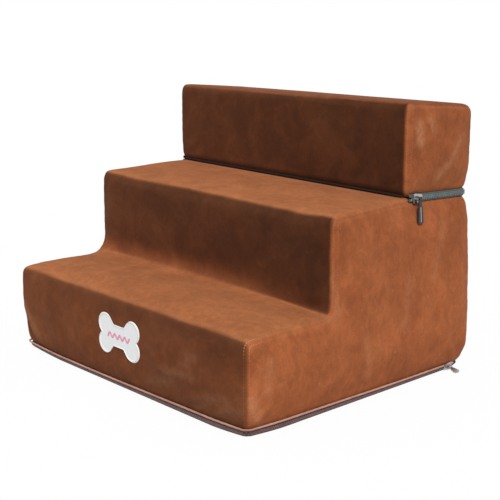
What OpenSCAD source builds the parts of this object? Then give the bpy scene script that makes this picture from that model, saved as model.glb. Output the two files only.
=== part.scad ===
// Three-step foam pet stairs in a suede cover: the top step tips forward on a cloth crease once its
// zip is open, and the underside opens on a second zip.
// Origin at the middle of the underside, +X across the stairs, the steps face -Y, +Z up, millimetres.

/* [Stairs] */
// Width across the stairs
stairs_w = 400; // [340:10:480]
// Width of the top step, which is sewn a little narrower
top_w = 382; // [320:2:476]
// Height of each of the three steps
riser_h = 100; // [90:5:130]
// Depth of each of the two lower treads
tread_d = 120; // [115:5:150]
// Depth of the top step
top_d = 110; // [100:5:140]
// Angle at which the top step's zip rises towards the crease, as the cushions swell there
fold_tilt = 2.5; // [0:0.5:5]
// How much lower the top is at its back than the tilt would put it
top_sag = 5; // [0:0.5:6]
// How much higher the top stands at its right end, and lower at its left, than at its middle
top_lean = 3; // [0:0.5:4]

/* [Cushion form] */
// Radius of the nosings and of the other edges of the cover's strip
nosing_r = 9; // [9:0.5:12]
// Radius of the edges between the strip and the sides
edge_r = 8; // [6:0.5:8]
// Radius of the cloth where a tread meets the riser above it
inner_r = 20; // [14:1:24]
// Rise of the crown on the two lower treads and the back
tread_crown = 2; // [0.5:0.25:3]
// Rise of the crown on the top
top_crown = 0.6; // [0.3:0.1:2]
// Rise of the crown on the risers
riser_crown = 1.2; // [0.5:0.1:2]
// Rise of the crown on the stepped sides
side_crown = 2.5; // [0.5:0.25:4]
// Distance from an edge over which that crown rises
crown_reach = 45; // [30:1:48]
// How far the zip draws the sides in at the foot of the top step
waist_in = 2; // [1:0.5:4]
// How far the zip draws the back in there
back_in = 5; // [3:0.5:7]
// Height over which the cover comes back out from there
waist_reach = 36; // [28:2:44]
// How far the lower zip draws the cover in at the floor
tuck_in = 4; // [2:0.5:6]
// Height over which the cover comes back out from the lower zip
tuck_reach = 26; // [20:2:34]

/* [Cover] */
// Thickness of the suede with its backing
cloth_t = 1.6; // [1:0.1:2.4]
// Room between the cover and the foam, and between sewn pieces
ease = 0.4; // [0.3:0.05:0.6]
// Thickness of the padded underside panel
base_t = 2.6; // [2:0.2:4]
// Radius of the rolled seams that the top step and the underside turn on
seam_r = 1.5; // [1:0.1:1.8]
// Thickness of the hem above the lower zip
hem_t = 1.4; // [1:0.1:2]
// Height of that hem
hem_h = 2.2; // [1.6:0.2:3]

/* [Zips] */
// Half the height of a closed zip with both tapes
zip_half_h = 4; // [3.6:0.2:5]
// Thickness of the zip tape
tape_t = 0.8; // [0.5:0.1:1.2]
// Distance from one tooth to the next
tooth_pitch = 3; // [2.8:0.1:4]
// Thickness of the teeth, outward from the tape
tooth_t = 1.4; // [1:0.1:1.8]
// How far from the crease the upper zip starts
fold_zip_start = 6; // [5:0.5:12]
// How far from the back the lower zip ends
base_zip_short = 32; // [20:1:50]
// Length of a slider along its zip
slider_l = 14; // [12:0.5:16]
// Width of the upper slider across its zip
fold_slider_w = 11; // [9:0.5:12]
// Width of the lower slider
base_slider_w = 9; // [8.4:0.2:9]
// Length of the pull on the upper zip, from the bar to its tip
fold_pull_l = 27; // [20:1:32]
// Length of the pull on the lower zip
base_pull_l = 12; // [10:1:14]
// Width of the pulls
pull_w = 8.5; // [6:0.5:9]

/* [Label] */
// Width of the bone-shaped patch
bone_w = 73; // [60:1:84]
// Height of the bone-shaped patch
bone_h = 47; // [40:1:52]
// Thickness of the patch
bone_t = 1.2; // [0.8:0.1:1.6]

/* [Hidden] */

// Colours
suede = "#9c5a36";
suede_dark = "#7d452b";
hem_tan = "#c28a6b";
lining_grey = "#3a3634";
foam_cream = "#efe3c0";
tape_grey = "#5a6462";
tooth_grey = "#707a78";
metal = "#c4c6c8";
pull_black = "#1c1c1e";
patch_white = "#f6f4f0";

// The stairs in plan and height
half_w = stairs_w / 2;
narrow = (stairs_w - top_w) / 2;
half_d = (2 * tread_d + top_d) / 2;
front_y = -half_d;
back_y = half_d;
riser2_y = front_y + tread_d;
riser3_y = riser2_y + tread_d;
fold_z = 2 * riser_h;
deck_z = fold_z - ease / 2;
top_base_z = fold_z + ease / 2;
top_z = 3 * riser_h;
cover_z = base_t + ease;
flat_w = half_w - edge_r;
foam_depth = cloth_t + ease;

// Teeth: heights are from the middle line of the zip
tooth_base_h = zip_half_h * 0.375;
tooth_tip_gap = 0.2;
tooth_near = zip_half_h * 0.225;
tooth_h = 2 * tooth_near - tooth_tip_gap;
tooth_root_w = tooth_pitch * 0.5;
tooth_tip_w = tooth_pitch * 0.3;
tape_near = zip_half_h * 0.2;

// How far an edge of radius edge_r has turned in at a distance d from the flat face beside it
function turned_in(d) = let (n = max(0, edge_r - d)) edge_r - sqrt(edge_r * edge_r - n * n);

// A pinch that is 1 within half a zip's height of its level, and fades to 0 over its reach
function pinch(z, level, reach) =
    let (n = max(0, 1 - max(0, abs(z - level) - zip_half_h) / reach)) n * n;

// Share of the narrowing towards the top step at a place of the cover
function narrow_share(y, z) =
    let (up = min(1, z / fold_z), back = max(0, min(1, (y - riser2_y) / tread_d)))
    up * up * back;

// How far the tilt lifts a place of the cover: the zip's plane turns about the back, the second
// nosing is lifted less than the crease, and nothing below the second riser's foot
nosing_lift_share = 0.45;
function tilt_rise(y, z) =
    let (
        up = max(0, min(1, (z - riser_h) / (fold_z - riser_h))),
        before = max(0, riser3_y - y) / tread_d,
        along = y < riser3_y ? top_d * (1 - (1 - nosing_lift_share) * before) : back_y - y
    )
    tan(fold_tilt) * along * up * up;
function sag_drop(x, y, z) =
    let (up = max(0, (z - fold_z) / (top_z - fold_z)), back = max(0, (y - riser3_y) / top_d))
    up * (top_sag * back - top_lean * x / half_w);

// Where the zips' tapes lie outside the cover, past the planes of its sides and back
fold_turn = turned_in(zip_half_h - ease / 2);
fold_side_off = ease - waist_in - fold_turn - narrow * narrow_share(back_y, fold_z - zip_half_h);
fold_back_off = ease - back_in - fold_turn + zip_half_h * sin(fold_tilt);
base_zip_z = zip_half_h + seam_r * 0.4;
base_top_z = base_zip_z + zip_half_h;
base_off = ease - tuck_in * pinch(base_top_z, 0, tuck_reach) - turned_in(base_top_z - cover_z);
hem_z = base_top_z + ease;
hem_off = ease - tuck_in * pinch(hem_z + hem_h, 0, tuck_reach);

// The crease that the top step turns on, and the seam that the underside turns on
crease_y = riser3_y + seam_r * 0.7;
crease_z = deck_z + seam_r + ease + tilt_rise(crease_y, fold_z);
flap_y = back_y - tuck_in + seam_r * 0.2;
flap_z = cover_z;

// Where the teeth of the two zips end
fold_zip_y = crease_y + fold_zip_start;
base_zip_y = back_y - base_zip_short;

// Angle round an edge at which the strip meets a side, and steps of arcs on the soft surfaces
seam_a = 45;
arc_steps = 4;
foot_steps = 3;
foam_steps = 2;
cap_shares = [0.93, 0.72, 0.4];
foam_cap_shares = [0.72, 0.4];
foam_crown_share = 0.5;

// Corners of the soft outlines, seen from the right side as [y, z], in order round the form:
// y, z, radius, steps of its arc, places on the stretch that follows, crown of that stretch
lower_outline = [
    [front_y, cover_z, nosing_r, foot_steps, 2, 0],
    [back_y, cover_z, nosing_r, foot_steps, 4, tread_crown],
    [back_y, deck_z, nosing_r, foot_steps, 1, 0],
    [riser3_y, deck_z, 0, 0, 3, tread_crown],
    [riser2_y, deck_z, nosing_r, arc_steps, 3, riser_crown],
    [riser2_y, riser_h, inner_r, arc_steps, 3, tread_crown],
    [front_y, riser_h, nosing_r, arc_steps, 4, riser_crown]
];
upper_outline = [
    [riser3_y, top_base_z, nosing_r, foot_steps, 1, 0],
    [back_y, top_base_z, nosing_r, foot_steps, 3, tread_crown],
    [back_y, top_z, nosing_r, arc_steps, 3, top_crown],
    [riser3_y, top_z, nosing_r, arc_steps, 4, riser_crown]
];
lower_middle = [riser2_y + tread_d * 0.4, riser_h * 0.6];
upper_middle = [(riser3_y + back_y) / 2, (top_base_z + top_z) / 2];

// The rectangles that make up a side, as [low y, high y, low z, high z]
lower_boxes = [[front_y, back_y, cover_z, riser_h], [riser2_y, back_y, cover_z, deck_z]];
upper_boxes = [[riser3_y, back_y, top_base_z, top_z]];

// The two lower foam blocks, which lie on each other inside the cover
bottom_foam_box = [front_y, back_y, cover_z, riser_h];
middle_foam_box = [riser2_y, back_y, riser_h - 2 * foam_depth + ease, deck_z];
function foam_outline(b) = [
    [b[0], b[2], nosing_r, foam_steps, 1, 0],
    [b[1], b[2], nosing_r, foam_steps, 2, 0],
    [b[1], b[3], nosing_r, foam_steps, 1, 0],
    [b[0], b[3], nosing_r, foam_steps, 2, 0]
];

function unit(v) = v / norm(v);
function corner(c, k) = [c[k].x, c[k].y];

// Directions of the stretches that end and start at corner k, and the side of them that is inside
function dir_in(c, k) = unit(corner(c, k) - corner(c, (k + len(c) - 1) % len(c)));
function dir_out(c, k) = unit(corner(c, (k + 1) % len(c)) - corner(c, k));
function inward(d) = [-d.y, d.x];

// Corner k moved inside by an inset, and its radius there: a hollow corner's radius grows
function moved(c, k, inset) =
    let (a = inward(dir_in(c, k)), b = inward(dir_out(c, k)))
    corner(c, k) + inset * (a + b) / (1 + a * b);
function radius_at(c, k, inset) =
    let (a = dir_in(c, k), b = dir_out(c, k), turn = a.x * b.y - a.y * b.x)
    c[k][3] == 0 ? 0 : c[k][2] - inset * sign(turn);

// Points of the arc at corner k, from the stretch before it to the one after it
function arc_points(c, k, inset) =
    let (
        v = moved(c, k, inset),
        r = radius_at(c, k, inset),
        a = dir_in(c, k),
        b = dir_out(c, k),
        n = c[k][3],
        middle = v - r * a + r * b
    )
    n == 0 ? [v] : [for (i = [0:n]) middle + r * (a * sin(90 * i / n) - b * cos(90 * i / n))];

// Points on the stretch after corner k, closer together near its ends and raised outward as a crown
function stretch_points(c, k, inset, rise) =
    let (
        next = (k + 1) % len(c),
        d = dir_out(c, k),
        from = moved(c, k, inset) + d * radius_at(c, k, inset),
        to = moved(c, next, inset) - d * radius_at(c, next, inset),
        n = c[k][4],
        crown = c[k][5] * rise
    )
    [
        for (i = [1:n])
            let (f = (1 - cos(180 * i / (n + 1))) / 2)
            from + (to - from) * f - inward(d) * crown * 4 * f * (1 - f)
    ];

// The whole outline at one inset, with a share of its crown
function outline(c, inset, rise) = [
    for (k = [0:len(c) - 1])
        each concat(arc_points(c, k, inset), stretch_points(c, k, inset, rise))
];

// How many points of an outline come before corner k
function first_point(c, k) = k == 0 ? 0 : first_point(c, k - 1) + c[k - 1][3] + 1 + c[k - 1][4];

// A point of the cover drawn in by the two zips, narrowed towards the top step and tilted there
function drawn(p) =
    let (
        waist = pinch(p.z, fold_z, waist_reach),
        tuck = tuck_in * pinch(p.z, 0, tuck_reach),
        side = waist_in * waist + narrow * narrow_share(p.y, p.z) + tuck,
        back_share = max(0, (p.y - riser3_y) / (back_y - riser3_y))
    )
    [
        p.x * (1 - side / half_w),
        p.y - back_in * waist * back_share - tuck * p.y / half_d,
        p.z + tilt_rise(p.y, p.z) - sag_drop(p.x, p.y, p.z)
    ];

// Places across the strip at a depth below its surface: x, inset of the outline, share of the crown
function edge_place(side, a, depth) = [
    side * (flat_w + (edge_r - depth) * sin(a)),
    edge_r - (edge_r - depth) * cos(a),
    0
];
function flat_places(depth) = [for (j = [-2:2]) [flat_w * j / 2, depth, 1 - j * j / 4]];
function strip_places(depth) = concat(
    [for (a = [seam_a, seam_a / 2]) edge_place(-1, a, depth)],
    flat_places(depth),
    [for (a = [seam_a / 2, seam_a]) edge_place(1, a, depth)]
);

// One ring of points round an outline at one place across the stairs
function ring(c, place) = [for (p = outline(c, place[1], place[2])) drawn([place[0], p.x, p.y])];

// The crown of a side: it rises from every edge of a box to 1 inside, and the fuller box counts.
// The foam inside has a lower crown.
function rise_from(d) = let (n = max(0, 1 - max(0, d - edge_r) / crown_reach)) 1 - n * n;
function bulge(q, boxes) = max([
    for (b = boxes)
        rise_from(q.x - b[0]) * rise_from(b[1] - q.x) * rise_from(q.y - b[2]) * rise_from(b[3] - q.y)
]);
function side_point(q, boxes, side, depth) =
    let (share = depth == foam_depth ? foam_crown_share : 1)
    drawn([side * (half_w - depth + side_crown * share * bulge(q, boxes)), q.x, q.y]);

// Rings of a side face from its edge towards its middle
function cap_ring(c, boxes, middle, side, share, depth) = [
    for (p = outline(c, edge_r, 0)) side_point(middle + share * (p - middle), boxes, side, depth)
];
function side_rings(c, boxes, middle, side, depth) = concat(
    [for (a = [seam_a:seam_a / 2:90]) ring(c, edge_place(side, a, depth))],
    [for (s = cap_shares) cap_ring(c, boxes, middle, side, s, depth)]
);

// Triangles of a grid of rows and columns whose first point has the index at; flip turns them over
function grid_faces(rows, cols, at, flip) = [
    for (i = [0:rows - 2])
        for (j = [0:cols - 2])
            let (
                a = at + i * cols + j,
                b = a + 1,
                d = a + cols,
                e = d + 1
            )
            each flip ? [[a, d, b], [b, d, e]] : [[a, b, d], [b, e, d]]
];

// A closed wall between two equal runs of point numbers
function wall_faces(p, q, flip) = [
    for (i = [0:len(p) - 2])
        each flip ? [[p[i], p[i + 1], q[i]], [p[i + 1], q[i + 1], q[i]]]
                  : [[p[i], q[i], p[i + 1]], [p[i + 1], q[i], q[i + 1]]]
];

// A sheet of cloth between an outer and an inner grid of points
module sheet(outer, inner) {
    rows = len(outer);
    cols = len(outer[0]);
    under = rows * cols;
    first_row = [for (j = [0:cols - 1]) j];
    last_row = [for (j = first_row) (rows - 1) * cols + j];
    first_col = [for (i = [0:rows - 1]) i * cols];
    last_col = [for (i = first_col) i + cols - 1];
    polyhedron(
        concat([for (r = outer) each r], [for (r = inner) each r]),
        concat(
            grid_faces(rows, cols, 0, false),
            grid_faces(rows, cols, under, true),
            wall_faces(first_row, [for (i = first_row) under + i], false),
            wall_faces(last_row, [for (i = last_row) under + i], true),
            wall_faces(first_col, [for (i = first_col) under + i], true),
            wall_faces(last_col, [for (i = last_col) under + i], false)
        )
    );
}

// A piece of the strip between two point numbers of an outline
module strip_piece(c, from, to) {
    total = len(outline(c, 0, 0));
    outer_rings = [for (p = strip_places(0)) ring(c, p)];
    inner_rings = [for (p = strip_places(cloth_t)) ring(c, p)];
    sheet(
        [for (r = outer_rings) [for (i = [from:to]) r[i % total]]],
        [for (r = inner_rings) [for (i = [from:to]) r[i % total]]]
    );
}

// Triangles of rings that close on themselves, each of n points
function ring_faces(rings, n, at, flip) = [
    for (i = [0:rings - 2])
        for (j = [0:n - 1])
            let (
                a = at + i * n + j,
                b = at + i * n + (j + 1) % n,
                d = a + n,
                e = b + n
            )
            each flip ? [[a, d, b], [b, d, e]] : [[a, b, d], [b, e, d]]
];
function fan_faces(n, at, middle, flip) = [
    for (j = [0:n - 1])
        let (a = at + j, b = at + (j + 1) % n)
        flip ? [a, middle, b] : [a, b, middle]
];

// A stepped side: rings from the seam to the middle, outside and inside, joined round the seam
module side_piece(c, boxes, middle, side) {
    outer = side_rings(c, boxes, middle, side, 0);
    inner = side_rings(c, boxes, middle, side, cloth_t);
    n = len(outer[0]);
    rings = len(outer);
    under = rings * n;
    tip = 2 * under;
    left = side < 0;
    seam = [for (j = [0:n]) j % n];
    polyhedron(
        concat(
            [for (r = outer) each r],
            [for (r = inner) each r],
            [side_point(middle, boxes, side, 0), side_point(middle, boxes, side, cloth_t)]
        ),
        concat(
            ring_faces(rings, n, 0, left),
            fan_faces(n, under - n, tip, left),
            ring_faces(rings, n, under, !left),
            fan_faces(n, tip - n, tip + 1, !left),
            wall_faces(seam, [for (i = seam) under + i], left)
        )
    );
}

// A closed foam block that fills the same form, one depth below the surface
function foam_side_rings(c, boxes, middle, side) = concat(
    [for (a = [seam_a:seam_a:90]) ring(c, edge_place(side, a, foam_depth))],
    [for (s = foam_cap_shares) cap_ring(c, boxes, middle, side, s, foam_depth)]
);
module foam_piece(c, boxes) {
    middle = [(boxes[0][0] + boxes[0][1]) / 2, (boxes[0][2] + boxes[0][3]) / 2];
    rings = concat(
        reversed(foam_side_rings(c, boxes, middle, -1)),
        [for (p = flat_places(foam_depth)) ring(c, p)],
        foam_side_rings(c, boxes, middle, 1)
    );
    n = len(rings[0]);
    count = len(rings);
    polyhedron(
        concat(
            [for (r = rings) each r],
            [for (side = [-1, 1]) side_point(middle, boxes, side, foam_depth)]
        ),
        concat(
            ring_faces(count, n, 0, false),
            fan_faces(n, 0, count * n, true),
            fan_faces(n, (count - 1) * n, count * n + 1, false)
        )
    );
}

module bottom_foam()
    color(foam_cream)
        foam_piece(foam_outline(bottom_foam_box), [bottom_foam_box]);

module middle_foam()
    color(foam_cream)
        foam_piece(foam_outline(middle_foam_box), [middle_foam_box]);

module top_foam()
    color(foam_cream)
        foam_piece(upper_outline, upper_boxes);

module step_runner()
    color(suede)
        strip_piece(
            lower_outline,
            first_point(lower_outline, 3),
            len(outline(lower_outline, 0, 0)) + foot_steps
        );

module left_side_panel()
    color(suede)
        side_piece(lower_outline, lower_boxes, lower_middle, -1);

module right_side_panel()
    color(suede)
        side_piece(lower_outline, lower_boxes, lower_middle, 1);

module back_panel()
    color(suede_dark)
        strip_piece(
            lower_outline,
            first_point(lower_outline, 1),
            first_point(lower_outline, 2) + foot_steps
        );

module deck_lining()
    color(lining_grey)
        strip_piece(
            lower_outline,
            first_point(lower_outline, 2) + foot_steps,
            first_point(lower_outline, 3)
        );

module top_runner()
    color(suede)
        strip_piece(
            upper_outline,
            first_point(upper_outline, 1),
            len(outline(upper_outline, 0, 0)) + foot_steps
        );

module top_left_panel()
    color(suede)
        side_piece(upper_outline, upper_boxes, upper_middle, -1);

module top_right_panel()
    color(suede)
        side_piece(upper_outline, upper_boxes, upper_middle, 1);

module top_lining()
    color(lining_grey)
        strip_piece(upper_outline, foot_steps, first_point(upper_outline, 1));

// Plan outline of a rectangle with round corners
module round_plan(x, y0, y1, r)
    union() {
        translate([-x + r, y0])
            square([2 * (x - r), y1 - y0]);
        translate([-x, y0 + r])
            square([2 * x, y1 - y0 - 2 * r]);
        for (sx = [-1, 1], y = [y0 + r, y1 - r])
            translate([sx * (x - r), y])
                circle(r, $fn = 48);
    }

// Underside panel inside the lower zip, with a raised pad under the foam. Its back edge stops just
// short of the seam.
pad_in = nosing_r + tuck_in;
panel_off = base_off - ease / 2;
module base_panel()
    color(lining_grey)
        union() {
            linear_extrude(base_t)
                difference() {
                    round_plan(half_w + panel_off, front_y - panel_off, back_y, edge_r + panel_off);
                    translate([-stairs_w, flap_y - seam_r - ease / 2])
                        square([2 * stairs_w, top_d]);
                }
            linear_extrude(cover_z + cloth_t)
                round_plan(half_w - pad_in, front_y + pad_in, back_y - pad_in, edge_r);
        }

// The hem runs along the lower zip and ends with it
module hem_band()
    color(hem_tan)
        translate([0, 0, hem_z])
            mirror([0, 1, 0])
                linear_extrude(hem_h)
                    polygon(band_points(
                        half_w + hem_off,
                        -base_zip_y - tape_tail,
                        half_d + hem_off,
                        edge_r + hem_off,
                        0,
                        hem_t
                    ));

// A rolled seam along the width
module seam(y, z, l)
    translate([-l / 2, y, z])
        rotate([0, 90, 0])
            cylinder(h = l, r = seam_r, $fn = 32);

module fold_seam()
    color(suede_dark)
        seam(crease_y, crease_z, top_w - 2 * edge_r);

module flap_seam()
    color(suede_dark)
        seam(flap_y, flap_z, 2 * (flat_w - tuck_in));

// Line of a zip in plan: up one side, across the far end and back down the other side.
// The far end lies towards +Y; off moves the line outward.
zip_bend_steps = 6;
function zip_line(x, y_open, y_far, r, off) = concat(
    [[x + off, y_open]],
    [
        for (i = [0:zip_bend_steps])
            let (a = 90 * i / zip_bend_steps)
            [x - r + (r + off) * cos(a), y_far - r + (r + off) * sin(a)]
    ],
    [
        for (i = [0:zip_bend_steps])
            let (a = 90 + 90 * i / zip_bend_steps)
            [-x + r + (r + off) * cos(a), y_far - r + (r + off) * sin(a)]
    ],
    [[-x - off, y_open]]
);
function reversed(v) = [for (i = [len(v) - 1:-1:0]) v[i]];

// A band along that line between two offsets from it
function band_points(x, y_open, y_far, r, near, far) =
    concat(zip_line(x, y_open, y_far, r, far), reversed(zip_line(x, y_open, y_far, r, near)));

// The tapes run on past the last tooth, under the stops
stop_l = 2;
tape_tail = stop_l * 1.2;

// Tape of one half, which lies above (up = 1) or below (up = -1) the middle line
module zip_tape(x, y_open, y_far, r, z, up)
    translate([0, 0, up > 0 ? z + tape_near : z - zip_half_h])
        linear_extrude(zip_half_h - tape_near)
            polygon(band_points(x, y_open - tape_tail, y_far, r, 0, tape_t));

// Comb of tapered teeth along a straight run: x along the run, y from the root to the tips
function comb(l, phase_share) =
    let (n = floor(l / tooth_pitch) - 1, start = (l - n * tooth_pitch) / 2)
    concat(
        [[0, tooth_base_h], [0, 0], [l, 0], [l, tooth_base_h]],
        [
            for (k = [n - 1:-1:0])
                let (s = start + (k + phase_share) * tooth_pitch)
                each [
                    [s + tooth_root_w / 2, tooth_base_h],
                    [s + tooth_tip_w / 2, tooth_base_h + tooth_h],
                    [s - tooth_tip_w / 2, tooth_base_h + tooth_h],
                    [s - tooth_root_w / 2, tooth_base_h]
                ]
        ]
    );

// One half of the teeth: combs on the three straight runs and plain bends between them
module zip_teeth(x, y_open, y_far, r, z, up) {
    side_l = y_far - r - y_open;
    cross_l = 2 * (x - r);
    phase_share = up > 0 ? 0.75 : 0.25;
    translate([0, 0, z])
        mirror([0, 0, up > 0 ? 1 : 0])
            translate([0, 0, -tooth_near - tooth_base_h]) {
                for (sx = [-1, 1])
                    translate([sx > 0 ? x + tape_t : -x - tape_t - tooth_t, y_open, 0])
                        rotate([90, 0, 90])
                            linear_extrude(tooth_t)
                                polygon(comb(side_l, phase_share));
                translate([-cross_l / 2, y_far + tape_t + tooth_t, 0])
                    rotate([90, 0, 0])
                        linear_extrude(tooth_t)
                            polygon(comb(cross_l, phase_share));
                for (sx = [0, 1])
                    mirror([sx, 0, 0])
                        linear_extrude(tooth_base_h)
                            polygon(zip_bend(x, y_far, r));
            }
}

// The plain bend of the teeth round one corner, which laps into the combs at both ends
function bend_line(x, y_far, r, off) = concat(
    [[x + off, y_far - r - ease / 2]],
    [for (i = [1:zip_bend_steps + 1]) zip_line(x, 0, y_far, r, off)[i]],
    [[x - r - ease / 2, y_far + off]]
);
function zip_bend(x, y_far, r) =
    concat(bend_line(x, y_far, r, tape_t + tooth_t), reversed(bend_line(x, y_far, r, tape_t)));

// The upper zip's plane, which rises towards the crease
module fold_plane()
    translate([0, back_y, fold_z])
        rotate([-fold_tilt, 0, 0])
            translate([0, -back_y, -fold_z])
                children();

// The upper zip opens towards the crease, the lower one is the same line turned end for end
fold_x = half_w + fold_side_off;
fold_far = back_y + fold_back_off;
fold_bend_r = edge_r + ease;
base_x = half_w + base_off;
base_far = half_d + base_off;
base_bend_r = edge_r + base_off;

module fold_zip_lower_tape()
    color(tape_grey)
        fold_plane()
            zip_tape(fold_x, fold_zip_y, fold_far, fold_bend_r, fold_z, -1);

module fold_zip_upper_tape()
    color(tape_grey)
        fold_plane()
            zip_tape(fold_x, fold_zip_y, fold_far, fold_bend_r, fold_z, 1);

module fold_zip_lower_teeth()
    color(tooth_grey)
        fold_plane()
            zip_teeth(fold_x, fold_zip_y, fold_far, fold_bend_r, fold_z, -1);

module fold_zip_upper_teeth()
    color(tooth_grey)
        fold_plane()
            zip_teeth(fold_x, fold_zip_y, fold_far, fold_bend_r, fold_z, 1);

module base_zip_upper_tape()
    color(tape_grey)
        mirror([0, 1, 0])
            zip_tape(base_x, -base_zip_y, base_far, base_bend_r, base_zip_z, 1);

module base_zip_lower_tape()
    color(tape_grey)
        mirror([0, 1, 0])
            zip_tape(base_x, -base_zip_y, base_far, base_bend_r, base_zip_z, -1);

module base_zip_upper_teeth()
    color(tooth_grey)
        mirror([0, 1, 0])
            zip_teeth(base_x, -base_zip_y, base_far, base_bend_r, base_zip_z, 1);

module base_zip_lower_teeth()
    color(tooth_grey)
        mirror([0, 1, 0])
            zip_teeth(base_x, -base_zip_y, base_far, base_bend_r, base_zip_z, -1);

// End stops, clamped on the fixed tape just before the first tooth
module stops(x, y, z0)
    for (sx = [-1, 1])
        translate([sx > 0 ? x + tape_t : -x - tape_t - tooth_t, y, z0])
            cube([tooth_t, stop_l, tooth_base_h]);

module fold_zip_stops()
    color(metal)
        fold_plane()
            stops(fold_x, fold_zip_y - stop_l, fold_z - tooth_near - tooth_base_h);

module base_zip_stops()
    color(metal)
        stops(base_x, base_zip_y, base_zip_z + tooth_near);

// Sliders. Their own frame: x outward from the tape's inner face, y along the zip, z up
slider_gap = 0.3;
slider_plate_t = 1.2;
slider_back_share = 0.76;
slider_round_share = 0.18;
rib_rise_share = 0.2;
rib_l_share = 0.7;
lip_l_share = 0.8;
slider_x = tape_t + tooth_t + slider_gap;
lip_t = 0.8;
lip_far = zip_half_h * 0.85;
crown_bar_r = 0.9;
crown_rise = 2.6;
crown_leg_l = 1.6;
crown_inside = 5;
bar_x = slider_x + slider_plate_t + crown_rise;
knuckle_r = 1.9;
knuckle_clear = 0.08;
knuckle_l = crown_inside - 2 * slider_gap;

// A slider of width w: tapered plate, lip under the fixed teeth and a bridge that holds the pull
module slider(w, lip_side) {
    translate([slider_x, 0, 0]) {
        rotate([90, 0, 90])
            linear_extrude(slider_plate_t)
                slider_plan(w);
        translate([0, -slider_l * rib_l_share / 2, -crown_bar_r])
            slider_rib();
    }
    translate([
        tape_t + slider_gap,
        -slider_l * lip_l_share / 2,
        lip_side > 0 ? lip_far - lip_t : -lip_far
    ])
        cube([slider_x - tape_t, slider_l * lip_l_share, lip_t]);
    for (s = [-1, 1])
        translate([slider_x, s * (crown_inside + crown_leg_l) / 2, 0])
            crown_leg();
    translate([bar_x, (crown_inside + 2 * crown_leg_l) / 2, 0])
        rotate([90, 0, 0])
            cylinder(h = crown_inside + 2 * crown_leg_l, r = crown_bar_r, $fn = 32);
}

// Outline of the plate: a wide mouth towards the closing end, narrower behind
module slider_plan(w) {
    corner_r = w * slider_round_share;
    hull() {
        for (s = [-1, 1]) {
            translate([-slider_l / 2 + corner_r, s * (w / 2 - corner_r)])
                circle(corner_r, $fn = 24);
            translate([slider_l / 2 - corner_r, s * (w * slider_back_share / 2 - corner_r)])
                circle(corner_r, $fn = 24);
        }
    }
}

module slider_rib()
    cube([
        slider_plate_t + crown_rise * rib_rise_share,
        slider_l * rib_l_share,
        2 * crown_bar_r
    ]);

module crown_leg()
    translate([0, -crown_leg_l / 2, -crown_bar_r])
        cube([slider_plate_t + crown_rise, crown_leg_l, 2 * crown_bar_r]);

// A pull: a knuckle round the bar and a flat tab that hangs from it, bar at the origin
pull_t = 1.6;
neck_share = 0.35;
tab_from_share = 0.28;
tab_round_share = 0.3;
tab_top_share = 0.8;
module pull(l)
    difference() {
        union() {
            translate([0, knuckle_l / 2, 0])
                rotate([90, 0, 0])
                    cylinder(h = knuckle_l, r = knuckle_r, $fn = 32);
            translate([-pull_t / 2, -knuckle_l / 2, -l * neck_share])
                cube([pull_t, knuckle_l, l * neck_share]);
            translate([pull_t / 2, 0, 0])
                rotate([0, -90, 0])
                    linear_extrude(pull_t)
                        pull_plan(l);
        }
        translate([0, knuckle_l, 0])
            rotate([90, 0, 0])
                cylinder(h = 2 * knuckle_l, r = crown_bar_r + knuckle_clear, $fn = 32);
    }

// The tab's outline, with its length along -x
module pull_plan(l) {
    round_r = pull_w * tab_round_share;
    hull() {
        for (s = [-1, 1]) {
            translate([-l + round_r, s * (pull_w / 2 - round_r)])
                circle(round_r, $fn = 24);
            translate([-l * tab_from_share - round_r, s * (pull_w * tab_top_share / 2 - round_r)])
                circle(round_r, $fn = 24);
        }
    }
}

// Where the sliders stand, at the closed ends of their zips: the upper one by the front right corner,
// the lower one near the back
slider_end_share = 0.6;
fold_slider_y = fold_zip_y + slider_l * slider_end_share;
base_slider_y = base_zip_y - slider_l * slider_end_share;

// The upper pull leans out just enough to clear the side below it
side_below = half_w + side_crown - narrow * narrow_share(back_y, fold_z - fold_pull_l);
pull_reach = side_below + pull_t + ease - fold_x - bar_x;
fold_pull_lean = asin(max(0, min(1, pull_reach / fold_pull_l)));
base_pull_lean = 74;

module fold_slider()
    color(metal)
        fold_plane()
            translate([fold_x, fold_slider_y, fold_z])
                slider(fold_slider_w, -1);

module fold_pull()
    color(pull_black)
        fold_pull_place()
            pull(fold_pull_l);

module fold_pull_place()
    fold_plane()
        translate([fold_x + bar_x, fold_slider_y, fold_z])
            rotate([0, -fold_pull_lean, 0])
                children();

// Raised line down the outer face of the upper pull
line_w = 1.2;
line_t = 0.3;
line_end_share = 0.94;
line_l_share = 0.6;
module fold_pull_line()
    color(metal)
        fold_pull_place()
            translate([pull_t / 2, -line_w / 2, -fold_pull_l * line_end_share])
                cube([line_t, line_w, fold_pull_l * line_l_share]);

module base_slider()
    color(metal)
        translate([base_x, base_slider_y, base_zip_z])
            mirror([0, 1, 0])
                slider(base_slider_w, 1);

module base_pull()
    color(metal)
        translate([base_x + bar_x, base_slider_y, base_zip_z])
            rotate([0, -base_pull_lean, 0])
                pull(base_pull_l);

// Bone-shaped patch on the lowest riser
lobe_share = 0.29;
bar_share = 0.56;
bone_up_share = 0.58;
bone_lobe_r = bone_h * lobe_share;
module bone_label()
    color(patch_white)
        translate([0, front_y - riser_crown - ease / 4, riser_h * bone_up_share])
            rotate([90, 0, 0])
                linear_extrude(bone_t)
                    bone_plan();

module bone_plan()
    union() {
        for (sx = [-1, 1], sz = [-1, 1])
            translate([sx * (bone_w / 2 - bone_lobe_r), sz * (bone_h / 2 - bone_lobe_r)])
                circle(bone_lobe_r, $fn = 48);
        square([bone_w - 2 * bone_lobe_r, bone_h * bar_share], center = true);
    }

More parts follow.
